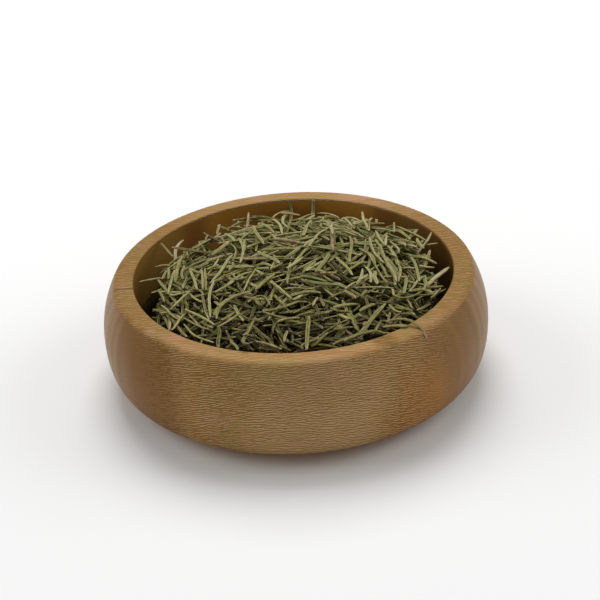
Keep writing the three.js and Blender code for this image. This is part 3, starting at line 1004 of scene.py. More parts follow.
# Soft steps: where a value starts and ends, and the share at each end, from 0 to 1 if none is given.
END_FACING = (0.45, 0.80)  # how far a face looks along X, to show end grain
FLAT_FACING = (0.55, 0.95)  # and up, to be the flat rim
PALE_CLOUDS = (0.44, 0.58)
OLIVE_BLOTCHES = (0.47, 0.60, 0.0, 0.9)
LATE_RINGS = (0.52, 0.70, 0.0, 0.4)
END_RINGS = (0.30, 0.70)
LATE_TO_RIGHT = (-20 * MM, 20 * MM, 0.35, 1.0)  # by X
SMOKY_TO_RIGHT = (-20 * MM, 20 * MM, 1.0, 0.5)
FILL_LIGHT_UPWARDS = (8 * MM, 38 * MM, 0.85, 0.50)  # by height: the painted light is stronger low on the wall
RIM_SIDES_OUT = (30 * MM, 62 * MM, 0.0, 0.5)  # by the distance to the left or right
RIM_MIDDLE_OUT = (20 * MM, 55 * MM, 0.2, 0.0)
HOLLOW_OUT = (65 * MM, 66 * MM, 1.0, 0.0)  # wood nearer the axis, and below the rim, is hollow
HOLLOW_UP = (BOWL_HIGH.z - 1.5 * MM, BOWL_HIGH.z - 0.5 * MM, 1.0, 0.0)
HOLLOW_SHADE_TO_RIGHT = (22 * MM, 58 * MM, 0.0, 0.7)
LIGHT_LINES = (0.0, 0.5, 1.0, 0.0)
LINE_ROUGHNESS = (0.0, 1.0, 0.50, 0.62)
# Bands: the middle, half the width, the width of the soft edge, and the share.
GOLDEN_RING = (-61 * MM, 3 * MM, 5 * MM, 0.75)  # by Y: golden wood across the front
LATE_RING = (-63.5 * MM, 0.4 * MM, 1.3 * MM, 0.8)  # and the orange ring that bows in it
SMOKY_BAND = (55 * MM, 5 * MM, 11 * MM, 1.0)  # by X: an upright band at each side of the front
FILL_LIGHT_BAND = (8 * MM, 18 * MM, 20 * MM, 1.0)  # and painted light on the wall between them, in place of a fill light from the front
JOINT = (-7.2 * MM, 0.3 * MM, 0.3 * MM, 1.0)  # by Y: the fine joint across the rim
HOLLOW_EDGE_SHADE = (0.5, 0.1, 0.4, 0.95)  # by end grain: painted shade where the hollow turns from front to side
# Stains, and one painted shadow: the middle, its height from the rim, where they start to fade and
# end, share, colour.
STAINS_AND_SHADOW = (
    # a painted shadow of the leaves that lap the rim, darkening the flat there
    ((31.5, -57, 0), 2, 7, 0.85, "wood_tan"),
    ((-48.3, 36.7, 0), 4, 10, 0.28, "wood_orange"),
    ((41, -59, -28), 9, 24, 0.75, "wood_orange"),
    ((-22.7, -69.9, -12), 4, 9, 0.45, "wood_olive"),
)
WARP_SCALE = (14, 26, 30)
WARP_DETAIL = 1.5
WARP = 5 * MM  # how far the year rings wander
RING_DETAIL = 1.0
WIDE_RINGS = 150.0
NARROW_RINGS = 170.0
NARROW_ROUGHNESS = 0.4
BLOTCH_SCALE = 85.0
BLOTCH_DETAIL = 2.0
CLOUD_SCALE = (30, 42, 75)
CLOUD_DETAIL = 2.5
CLOUD_ROUGHNESS = 0.55
END_SHARE = 0.85
HOLLOW_SHARE = 0.85
FIBRES_FRONT = 0.76  # how strong the fibre lines are, on the front and back
FIBRES_END = 0.06  # on the end grain, the flat rim and the hollow
FIBRES_FLAT = 0.36
FIBRES_HOLLOW = 0.10
CREST_SHARE = 0.9
END_ROUGHNESS = 0.38
LINE_DEPTH = 0.05 * MM
BUMP = 0.5
WOOD_SHINE = 0.12


def wood_material(colours):
    """Wood with its fibres along X, so that both ends of the bowl show end grain."""
    material, nodes = new_material("turned_wood")
    place = nodes.place()
    x, y, z = nodes.parts(place)
    normal = nodes.add("ShaderNodeNewGeometry").outputs["Normal"]
    facing_x, _, facing_z = nodes.parts(normal)
    end_grain = nodes.spread(nodes.maths("ABSOLUTE", facing_x), *END_FACING)
    flat = nodes.spread(facing_z, *FLAT_FACING)
    wall = nodes.rest(flat)
    sideways = nodes.maths("ABSOLUTE", x)

    # the year rings are nearly flat layers across Y
    warp = nodes.noise(nodes.stretched(place, WARP_SCALE), 1.0, WARP_DETAIL)
    layer = nodes.maths("SUBTRACT", nodes.plus(y, nodes.times(warp, WARP)), WARP / 2)
    line = nodes.vector(X=layer)
    wide = nodes.noise(line, WIDE_RINGS, RING_DETAIL)
    narrow = nodes.noise(line, NARROW_RINGS, RING_DETAIL, NARROW_ROUGHNESS)
    blotch = nodes.noise(place, BLOTCH_SCALE, BLOTCH_DETAIL, CLOUD_ROUGHNESS)
    cloud = nodes.noise(nodes.stretched(place, CLOUD_SCALE), 1.0, CLOUD_DETAIL, CLOUD_ROUGHNESS)
    late = nodes.near(layer, *LATE_RING)
    late = nodes.times(late, nodes.spread(x, *LATE_TO_RIGHT))
    late = nodes.maths("MAXIMUM", late, nodes.spread(wide, *LATE_RINGS))

    # the body's colours, with painted light on the front wall and a painted shadow on the rim
    body = nodes.mix(nodes.spread(cloud, *PALE_CLOUDS), colours.wood_golden, colours.wood_pale)
    body = nodes.mix(nodes.spread(blotch, *OLIVE_BLOTCHES), body, colours.wood_olive)
    body = nodes.mix(nodes.near(layer, *GOLDEN_RING), body, colours.wood_golden)
    body = nodes.mix(late, body, colours.wood_orange)
    side = nodes.mix(nodes.spread(narrow, *END_RINGS), colours.wood_end, colours.wood_side)
    upright = nodes.times(end_grain, wall)
    body = nodes.mix(nodes.times(upright, END_SHARE), body, side)
    # the flat rim is paler in the middle of its front and back, and darker and more golden towards
    # its left and right
    worn = nodes.times(nodes.spread(sideways, *RIM_MIDDLE_OUT), flat)
    body = nodes.mix(worn, body, colours.wood_gleam)
    darker_rim_sides = nodes.times(nodes.spread(sideways, *RIM_SIDES_OUT), flat)
    body = nodes.mix(darker_rim_sides, body, colours.wood_tan)
    smoky = nodes.times(nodes.near(sideways, *SMOKY_BAND), nodes.spread(x, *SMOKY_TO_RIGHT))
    body = nodes.mix(nodes.times(smoky, wall), body, colours.wood_smoky)
    # painted light: the front wall between the upright bands is paler, as if lit from the front
    clear = nodes.times(nodes.near(x, *FILL_LIGHT_BAND), nodes.times(wall, nodes.rest(end_grain)))
    clear = nodes.times(clear, nodes.spread(z, *FILL_LIGHT_UPWARDS))
    body = nodes.mix(clear, body, colours.wood_gleam)
    # the stains, and the painted shadow on the rim
    for (spot_x, spot_y, below), start, end, strength, name in STAINS_AND_SHADOW:
        middle = (spot_x * MM, spot_y * MM, below * MM + BOWL_HIGH.z)
        away = nodes.vectors("DISTANCE", place, middle, output="Value")
        spot_share = nodes.spread(away, start * MM, end * MM, strength, 0.0)
        body = nodes.mix(spot_share, body, getattr(colours, name))

    # the hollow's wall is painted brighter and richer, as painted light, with painted shade where it
    # turns to the sides and at the right
    reach = nodes.vectors("LENGTH", nodes.stretched(place, (1, 1, 0)), output="Value")
    hollow = nodes.times(nodes.spread(reach, *HOLLOW_OUT), nodes.spread(z, *HOLLOW_UP))
    hollow_lit_and_shaded = nodes.mix(end_grain, colours.wood_inner, colours.wood_inner_side)
    # painted shade, darker orange, where the hollow turns from front to side
    hollow_lit_and_shaded = nodes.mix(nodes.near(end_grain, *HOLLOW_EDGE_SHADE), hollow_lit_and_shaded, colours.wood_orange)
    body = nodes.mix(nodes.times(hollow, HOLLOW_SHARE), body, hollow_lit_and_shaded)
    # painted shade on the right of the hollow
    hollow_right_shade = nodes.times(nodes.spread(x, *HOLLOW_SHADE_TO_RIGHT), hollow)
    body = nodes.mix(hollow_right_shade, body, colours.wood_dark)

    # the fibre lines and the crests between them
    lines = nodes.group(ripple_lines, Place=place, Level=flat)["Lines"]
    strength = nodes.mix_values(end_grain, FIBRES_FRONT, FIBRES_END)
    strength = nodes.mix_values(flat, strength, FIBRES_FLAT)
    strength = nodes.mix_values(hollow, strength, FIBRES_HOLLOW)
    body = nodes.mix(nodes.times(lines, strength), body, colours.wood_dark)
    crests = nodes.times(nodes.spread(lines, *LIGHT_LINES), nodes.times(strength, CREST_SHARE))
    body = nodes.mix(crests, body, colours.wood_gleam)

    # the joint shows on the left of the rim alone
    joint = nodes.times(nodes.near(y, *JOINT), nodes.maths("LESS_THAN", x, 0.0))
    body = nodes.mix(nodes.times(joint, flat), body, colours.wood_dark)
    roughness = nodes.spread(lines, *LINE_ROUGHNESS)
    height = nodes.times(lines, -1.0)
    bump = nodes.add("ShaderNodeBump", Height=height, Distance=LINE_DEPTH, Strength=BUMP)
    nodes.surface(
        Base_Color=body,
        Roughness=nodes.mix_values(upright, roughness, END_ROUGHNESS),
        Normal=bump.outputs[0],
        Specular_IOR_Level=WOOD_SHINE,
    )
    return material


# Where along the leaf's tone each colour of its two ramps stands.
GREENS = {0.0: "deep", 0.25: "dull", 0.50: "olive", 0.78: "sage", 1.0: "pale"}
BROWNS = {0.0: "bark", 0.45: "brown", 0.75: "straw", 1.0: "cream"}
GRAIN_SCALE = (1.3, 0.32, 1)
GRAIN_DETAIL = 2.0
GRAIN_ROUGHNESS = 0.6
GRAIN_TONES = (0.32, 0.68, -0.22, 0.22)
PATCH_TONES = (0.0, 1.0, 0.06, -0.10)
FRESH_TONES = (0.1, 1.0, 0.15, 0.75)
FRESH_WARMTHS = (0.0, -0.6, 0.0, 0.65)
DRY_TIP = (0.80, 1.0)  # along the leaf
DRY_TIP_OWN = (0.35, 0.75, 0, 0.7)  # by the leaf's own draw
DRY_FOOT = (0.0, 0.09, 0.6, 0.0)
SPECK_SHARE = 0.35
CREST_HIGHLIGHT = (0.84, 1.0, 0.0, 0.12)  # across the leaf: a painted highlight on the crests
# painted shade in the groove along the top and in the slot below
GROOVE_SHADE = (0.05, 0.70, 1.0, 0.0)
GROOVE_SHADE_OWN = (0.2, 0.8, 0.15, 0.75)
LEAF_ROUGHNESS = (0.1, 0.9, 0.90, 0.46)
LEAF_SHINE = 0.16


def leaf_material(colours):
    """Dried leaf: green or brown by its warmth, with painted shade in its groove, painted highlights
    on its crests, and dry tips.
    """
    material, nodes = new_material("dried_leaf")

    def ramp(factor, stops):
        node = nodes.add("ShaderNodeValToRGB", Fac=factor)
        elements = node.color_ramp.elements
        elements.remove(elements[-1])
        for position, name in stops.items():
            element = elements.new(position) if position else elements[0]
            element.color = (*getattr(colours, "leaf_" + name), 1)
        return node.outputs[0]

    tone, warmth, own = (nodes.attribute(name) for name in ("tone", "warmth", "own"))
    ridge, along = nodes.attribute("ridge"), nodes.attribute("along")
    mottle = nodes.group(dry_mottle, Place=nodes.place())
    grain = nodes.stretched(nodes.attribute("grain", "Vector"), GRAIN_SCALE)
    streaks = nodes.noise(grain, 1.0, GRAIN_DETAIL, GRAIN_ROUGHNESS)
    tone = nodes.plus(tone, nodes.spread(streaks, *GRAIN_TONES))
    tone = nodes.plus(tone, nodes.spread(mottle["Patches"], *PATCH_TONES))
    green = ramp(tone, GREENS)
    body = nodes.mix(nodes.maths("MAXIMUM", warmth, 0.0), green, ramp(tone, BROWNS))
    fresh = nodes.mix(nodes.spread(tone, *FRESH_TONES), green, colours.leaf_fresh)
    body = nodes.mix(nodes.spread(warmth, *FRESH_WARMTHS), body, fresh)
    dry_tip = nodes.times(nodes.spread(along, *DRY_TIP), nodes.spread(own, *DRY_TIP_OWN))
    dry = nodes.maths("MAXIMUM", dry_tip, nodes.spread(along, *DRY_FOOT))
    # dry tips and specks are the leaf's own colour; the crests get a painted highlight
    for pale in (dry, nodes.times(mottle["Specks"], SPECK_SHARE), nodes.spread(ridge, *CREST_HIGHLIGHT)):
        body = nodes.mix(pale, body, colours.leaf_wool)
    # painted shade in the groove and the slot
    groove = nodes.times(nodes.spread(ridge, *GROOVE_SHADE), nodes.spread(own, *GROOVE_SHADE_OWN))
    body = nodes.mix(groove, body, colours.leaf_groove)
    roughness = nodes.spread(tone, *LEAF_ROUGHNESS)
    nodes.surface(Base_Color=body, Roughness=roughness, Specular_IOR_Level=LEAF_SHINE)
    return material


STALK_MOTTLE = {"Patch": 500.0, "Speck": 2500.0}
STALK_ROUGHNESS = 0.75
STALK_DEPTH = 0.1 * MM
CRUMB_MOTTLE = {"Patch": 700.0, "Speck": 1500.0}
CRUMB_ROUGHNESS = 0.9
CRUMB_SHINE = 0.05


def stalk_material(colours):
    """Brown bark, worn through to paler wood, with fine specks that stand out."""
    material, nodes = new_material("dried_stalk")
    mottle = nodes.group(dry_mottle, Place=nodes.place(), **STALK_MOTTLE)
    body = nodes.mix(mottle["Patches"], colours.stalk_brown, colours.stalk_tan)
    height = mottle["Specks"]
    bump = nodes.add("ShaderNodeBump", Height=height, Distance=STALK_DEPTH, Strength=BUMP)
    nodes.surface(Base_Color=body, Roughness=STALK_ROUGHNESS, Normal=bump.outputs[0])
    return material


def crumb_material(colours):
    """Broken leaf, painted near black as the shade at the bottom of the gaps between the leaves."""
    material, nodes = new_material("shaded_leaf_crumbs")
    mottle = nodes.group(dry_mottle, Place=nodes.place(), **CRUMB_MOTTLE)
    body = nodes.mix(mottle["Patches"], colours.crumb, colours.leaf_deep)
    nodes.surface(Base_Color=body, Roughness=CRUMB_ROUGHNESS, Specular_IOR_Level=CRUMB_SHINE)
    return material


MADE = {}  # the materials so far


def made_once(make, colours):
    """A material, built the first time that a piece asks for it."""
    if make.__name__ not in MADE:
        MADE[make.__name__] = make(colours)
    return MADE[make.__name__]


# ---------------------------------------------------------------- the bed, single leaves and stalks

LAID = {}  # the ground with what lies in the bowl so far, for the pieces that lie on it
BED_GAP = 0.35 * MM  # between the bed and the wood
BED_RINGS = 40
BED_SIDES = 96
BED_CORNER_STEPS = 6
GAP_FADE = 3 * MM  # the bed drops over this width towards the gap at the wall
GAP_DEPTH = 9 * MM


def add_bed(heap, bowl, colours):
    """The crumbs at the bottom of the gaps: a near-black solid that fills the bowl under the leaves,
    as painted shade for the gaps.
    """
    wall = bowl.cavity_radius - BED_GAP
    floor = bowl.floor_thickness + BED_GAP
    corner = (wall - bowl.floor_corner, floor)
    edge = (wall - MM, bowl.cavity_widest)
    profile = [(0, floor), corner]
    profile += quadratic(corner, (wall, floor), edge, steps(BED_CORNER_STEPS)).tolist()
    for ring in range(BED_RINGS):
        profile.append((bowl.rim_inner * (1 - ring / BED_RINGS), bowl.height))
    profile.append((0, bowl.height))
    points, faces = turned(np.array(profile, float), BED_SIDES)
    top = points[:, 2] > bowl.height - MM
    x, y = points[:, 0], points[:, 1]
    past = (np.hypot(x, y) - leaf_wall(heap, x, y) + GAP_FADE) / GAP_FADE
    surface = heap_height(heap, bowl, x, y) - heap.bed_depth - GAP_DEPTH * np.clip(past, 0, 1)
    points[top, 2] = surface[top]
    material = made_once(crumb_material, colours)
    add_piece("shaded_leaf_crumbs", points, faces, material, ["leaf_heap"])


# The single leaves and bits of stalk, in millimetres: two ends and the point that each bends
# towards, its width, and a leaf's tone and warmth. The heights are from the rim's plane, and a
# stalk has none, because it lies down on the heap.
SINGLES = {
    "leaf_over_rim_1": ((33.1, -43, -0.5), (42.8, -46.8, 5), (47.2, -53.6, -2.4), 1.3, 0.85, 0.1),
    "leaf_over_rim_2": ((31.8, -45.5, -1.3), (36.4, -49.1, 0.8), (40.6, -48.7, 0.6), 1.6, 0.95, 0.2),
    "leaf_over_rim_3": ((16.8, -55.9, 0.1), (27, -50.5, 1.9), (31.7, -53.5, 0.6), 1.6, 0.70, -0.3),
    "leaf_on_wall_1": ((0.2, 52.9, -8.3), (0.5, 63.2, -5.3), (0.7, 61.4, -0.3), 1.5, 0.45, 0.5),
    "leaf_on_wall_2": ((9.3, 53, -9.8), (9.8, 62, -4.5), (10.3, 60.5, -0.3), 1.6, 0.65, 0.5),
    "leaf_on_wall_3": ((-46.9, 19.9, -1.5), (-50.5, 25.9, -1.3), (-52.3, 32, -1.2), 1.1, 0.40, 0.6),
    "leaf_to_wall_1": ((-47.1, 15.5, -5), (-47, 21.9, -0.7), (-43.1, 27, 2), 1.4, 1.0, 1.0),
    "leaf_to_wall_2": ((-44.2, 2.6, -1.7), (-53, 4.4, -2.2), (-59.9, 2, -2.3), 1.2, 0.50, 0.5),
    "leaf_to_wall_3": ((46.2, -16.6, -4.6), (54, -8.6, -3.2), (60, -1.8, -1.8), 1.9, 0.88, 0.7),
    "leaf_to_wall_4": ((47.6, 13, -4.9), (52.4, 17, -1.8), (55.6, 22.2, 1.2), 1.2, 0.85, 0.6),
    "leaf_to_wall_5": ((45.2, 19, -3.8), (52, 18.6, -2.4), (57.6, 17, -1), 1.1, 0.65, 0.9),
}
STALKS = {
    "stalk_1": ((-17.4, 32), (-16.9, 38), (-16.6, 46.4), 1.3),
    "stalk_2": ((-7.4, 13.4), (-1.6, 9.4), (4, 4.2), 1.5),
    "stalk_3": ((8.6, -16.8), (13, -17.8), (17.6, -19.6), 1.4),
    "stalk_4": ((24.4, 13.6), (25.4, 7), (24.8, 0.6), 1.3),
    "stalk_5": ((16.4, 16), (15.6, 7), (15.8, -1.9), 1.5),
    "stalk_6": ((14.8, -48.6), (17.4, -50.8), (20.4, -52.6), 1.1),
    "stalk_7": ((-24.5, -24), (-20, -27), (-15.8, -28.4), 1.3),
}
SINGLE_ARCH = 0.4 * MM
SINGLE_SINK = 0.15 * MM
AGAINST_WALL = ("leaf_on_wall_1", "leaf_on_wall_2")
ON_WALL = (0, -1, 0)  # the way that those face
TWIG_SIDES = 9
TWIG_STATIONS = np.linspace(0, 1, 15)
TWIG_JOINTS = 17  # radians of the wave that swells the joints, from end to end
TWIG_JOINT_STARTS = 6
TWIG_JOINT_POWER = 4  # keeps each joint short
TWIG_SWELL = 0.22
TWIG_TAPER = 0.3
TWIG_ENDS = (0.55, 0.5)  # what is left of the radius at its broken ends
TWIG_UNEVEN = 0.10


def single_leaf(node, bowl, sizes):
    """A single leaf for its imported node, held by the bowl or stuck in the heap."""
    *points, width, tone, warmth = SINGLES[node]
    points = np.array(points) * MM
    width = width * MM
    leaf = Leaf(*points[:, :2], width, width * sizes.thickness, 0, tone, warmth, roll=0.0)
    if node in AGAINST_WALL:
        leaf.facing = ON_WALL
    leaf.line = tuple(points + (0, 0, bowl.height))
    return leaf


def single_stalk(node, ground, sizes):
    """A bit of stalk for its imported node, laid on the heap."""
    *points, width = STALKS[node]
    stalk = Leaf(*np.array(points) * MM, width * MM, width * MM, SINGLE_ARCH)
    return ground.lay(stalk, sizes.steepest, SINGLE_SINK)


def twig_points(stalk, draws):
    """A bit of stalk: a bent stick with swollen joints where leaves grew, and broken ends."""
    line = quadratic(*stalk.line, TWIG_STATIONS)
    side, up = across_line(line, stalk.facing)
    wave = np.sin(TWIG_STATIONS * TWIG_JOINTS + draws.one() * TWIG_JOINT_STARTS)
    joints = 1 + TWIG_SWELL * np.maximum(0, wave) ** TWIG_JOINT_POWER
    radius = stalk.width / 2 * joints * (1 - TWIG_TAPER * TWIG_STATIONS)
    radius[0] *= TWIG_ENDS[0]
    radius[-1] *= TWIG_ENDS[1]
    turn = np.arange(TWIG_SIDES) * 2 * math.pi / TWIG_SIDES
    uneven = np.array([1 + TWIG_UNEVEN * draws.bell() for _ in range(TWIG_SIDES)])
    sideways = radius[:, None] * (np.cos(turn) * uneven)
    upwards = radius[:, None] * (np.sin(turn) * uneven)
    return rings(line, side, up, sideways, upwards).reshape(-1, 3)


# ---------------------------------------------------------------- the leaves on top

# The leaves on top that can be told apart from above the front: the points that each goes
# through, across and down the camera's square frame of 600 by 600, then its width in
# millimetres, its tone and its warmth. The two or three points run from its foot to its tip.
FRAME = 600
BACK_LEAVES = [
    ((228, 227), (236, 227.5), (244, 228), 1.3, 0.60, 0.7),
    ((220, 229), (217, 235), 1.0, 0.60, 0.7),
    ((207, 235), (206, 240), 1.0, 0.60, 0.7),
    ((238, 233), (242.5, 247), (240, 268), 1.1, 0.90, 0.1),
    ((244, 240), (245, 250), 1.0, 0.70, 0.1),
    ((253, 226), (258, 235), (264, 244), 1.2, 0.80, 0.2),
    ((258, 225), (267, 226.5), (274, 232), 1.1, 0.80, 0.2),
    ((272, 220), (279, 224), (282, 234), 1.1, 0.95, 0.1),
    ((282, 216), (283.5, 222), (287, 228), 1.1, 0.80, 0.2),
    ((272, 218), (280, 212), (290, 208.5), 1.0, 0.80, 0.3),
    ((281, 213), (290, 213.5), (300, 215), 1.1, 0.70, 0.3),
    ((267, 219), (271, 219.5), 1.0, 0.60, 0.7),
    ((273, 234), (275, 238), (279, 238), 1.1, 0.75, 0.2),
    ((273, 241), (285, 244), (299, 249), 1.1, 0.50, 0.8),
    ((274, 243), (281, 246), (288, 249), 1.1, 0.45, 0.8),
    ((262, 250), (281, 248.5), (300, 248.5), 1.1, 0.60, 0.3),
    ((228, 248), (236, 251), (231, 260), 1.0, 0.75, 0.1),
    ((258, 251), (270, 257.5), (280, 263), 1.3, 0.80, 0.2),
    ((273, 256), (287, 256), 1.2, 0.65, 0.3),
    ((285, 260), (293, 255), (300, 250), 1.2, 0.90, 0.1),
    ((226, 233), (235, 241), 1.2, 0.80, 0.1),
    ((212, 255), (220, 249), (229, 242), 1.6, 0.85, 0.15),
    ((316, 210.5), (328, 212.5), (339.5, 217), 1.2, 0.75, 0.6),
    ((322, 217), (331, 216.5), (338, 219), 1.3, 0.50, 0.2),
    ((297, 219), (311, 220), (325, 219.5), 1.1, 0.85, 0.2),
    ((320, 220.5), (326, 222), (329, 226), 1.1, 0.95, -0.6),
    ((341, 218), (352, 216), (362, 219), 1.1, 0.80, 0.4),
    ((352, 219), (356, 222), (360, 222), 1.5, 0.55, -0.6),
    ((353, 226), (361, 223.5), (367, 220.5), 1.6, 0.85, 0.1),
    ((367, 224), (364, 220), (362, 216), 1.1, 0.85, 0.5),
    ((369, 220), (372, 217), 1.0, 0.80, 0.6),
    ((377, 222), (376, 218), 1.0, 0.75, 0.5),
    ((345, 221), (350, 224), (355, 227), 1.0, 0.80, 0.2),
    ((333, 231), (345, 232), (359, 235.5), 1.1, 0.90, 0.15),
    ((331, 224), (332, 228), (332, 236), 1.1, 0.85, 0.3),
    ((368.5, 221), (369, 232), 1.2, 0.50, 0.4),
    ((303, 235), (306, 228.5), (311, 221.5), 1.6, 0.70, 0.1),
    ((313, 240), (319, 234), (328, 228), 1.1, 0.85, 0.1),
    ((303, 247), (311, 241), (318, 238), 1.1, 0.85, 0.4),
    ((306, 248), (314, 244), (322, 240), 1.6, 0.15, 0.1),
    ((309, 251), (315, 251.5), (321, 249), 1.1, 0.75, 0.3),
    ((350, 236), (351, 248), (350, 262), 1.2, 0.60, 0.15),
    ((363, 250), (370, 255), (376, 264), 1.6, 0.65, 0.1),
    ((369, 237), (373, 249), (384, 263), 1.1, 0.75, 0.4),
    ((366, 240), (365, 249), 1.1, 0.60, 0.2),
]
RIGHT_LEAVES = [
    ((372, 228), (384, 229), (395, 231.5), 1.1, 0.90, 0.1),
    ((394, 231), (394, 224), 1.1, 0.75, 0.3),
    ((395, 225), (402, 221), (412, 220.5), 1.0, 0.80, 0.4),
    ((396, 233), (403, 235), (411, 238.5), 1.1, 0.75, 0.3),
    ((375, 231), (380, 238), (384, 246), 1.4, 0.90, 0.1),
    ((385, 246), (386.3, 240), (386, 235), 1.1, 0.95, 0.3),
    ((384, 246), (390, 252.5), (398, 258), 1.1, 0.80, 0.2),
    ((390, 241), (396, 246), (398, 253), 1.1, 0.85, 0.4),
    ((398, 241), (403, 243), (406, 246.5), 1.2, 1.00, 0.1),
    ((407, 242.5), (412, 244), (416, 247), 1.1, 0.90, 0.15),
    ((393, 240), (402, 240), (416, 242.5), 1.0, 0.75, 0.2),
    ((424, 248), (419, 243), (417, 238), 1.3, 0.85, 0.2),
    ((410, 246), (418, 252), 1.6, 0.20, -0.6),
    ((416, 252), (419, 249.5), (423, 247), 1.1, 0.70, 0.5),
    ((422, 257), (430, 259.5), (437, 263), 1.1, 0.80, 0.5),
    ((419, 265), (427, 267), (434, 267), 1.3, 0.95, 0.5),
    ((411.5, 257), (416, 267), (420, 281), 1.2, 0.95, -0.6),
    ((402, 267.5), (409, 268), (415, 267), 1.1, 0.70, 0.4),
    ((407, 272), (411, 276), (414, 280.5), 1.2, 0.50, 0.5),
    ((404.5, 293), (405.5, 285), (406.5, 278), 1.5, 0.95, -0.6),
    ((408, 291.5), (418, 281), (425, 275.5), 1.1, 0.85, 0.1),
    ((424, 291), (425, 282), (426, 274), 1.6, 0.65, -0.6),
    ((398.5, 262), (399.5, 270), (399, 280), 1.1, 0.65, 0.4),
    ((375, 238), (382, 252), (391, 270), 1.0, 0.70, 0.2),
    ((371, 246), (379, 261), (388, 278), 1.1, 0.60, 0.2),
    ((369, 254), (377, 268), (386, 283), 1.0, 0.70, 0.2),
    ((384, 256), (390, 267), (397, 281), 1.0, 0.75, 0.3),
    ((378, 246), (386, 261), (394, 277), 1.0, 0.55, 0.2),
    ((391.5, 291), (394, 294.5), (398, 296.5), 1.3, 0.90, 0.2),
    ((398, 297), (408, 297), (421, 292), 1.1, 0.65, 0.3),
    ((407.5, 299), (410, 304.5), (414, 309), 1.1, 0.80, 0.4),
    ((410, 291.5), (423, 292.5), (433, 298.5), 1.1, 0.80, 0.15),
    ((431, 297.5), (436, 293), (441, 288), 1.0, 0.75, 0.6),
    ((432, 299), (435, 299), (439, 301.5), 1.1, 0.85, -0.6),
    ((431, 303), (424, 306.5), (417, 310), 1.1, 0.60, 0.4),
    ((389, 304.5), (394, 309.5), (401, 312), 1.1, 0.90, 0.1),
    ((396, 308.5), (404, 309), (413, 310.5), 1.1, 0.65, -0.6),
    ((401, 314), (408, 315.5), (415, 318), 1.6, 0.40, 0.2),
    ((380, 316), (386, 318), (391, 321), 1.0, 0.55, -0.6),
    ((381, 321.5), (377, 327), (373, 334), 1.2, 0.80, 0.2),
]
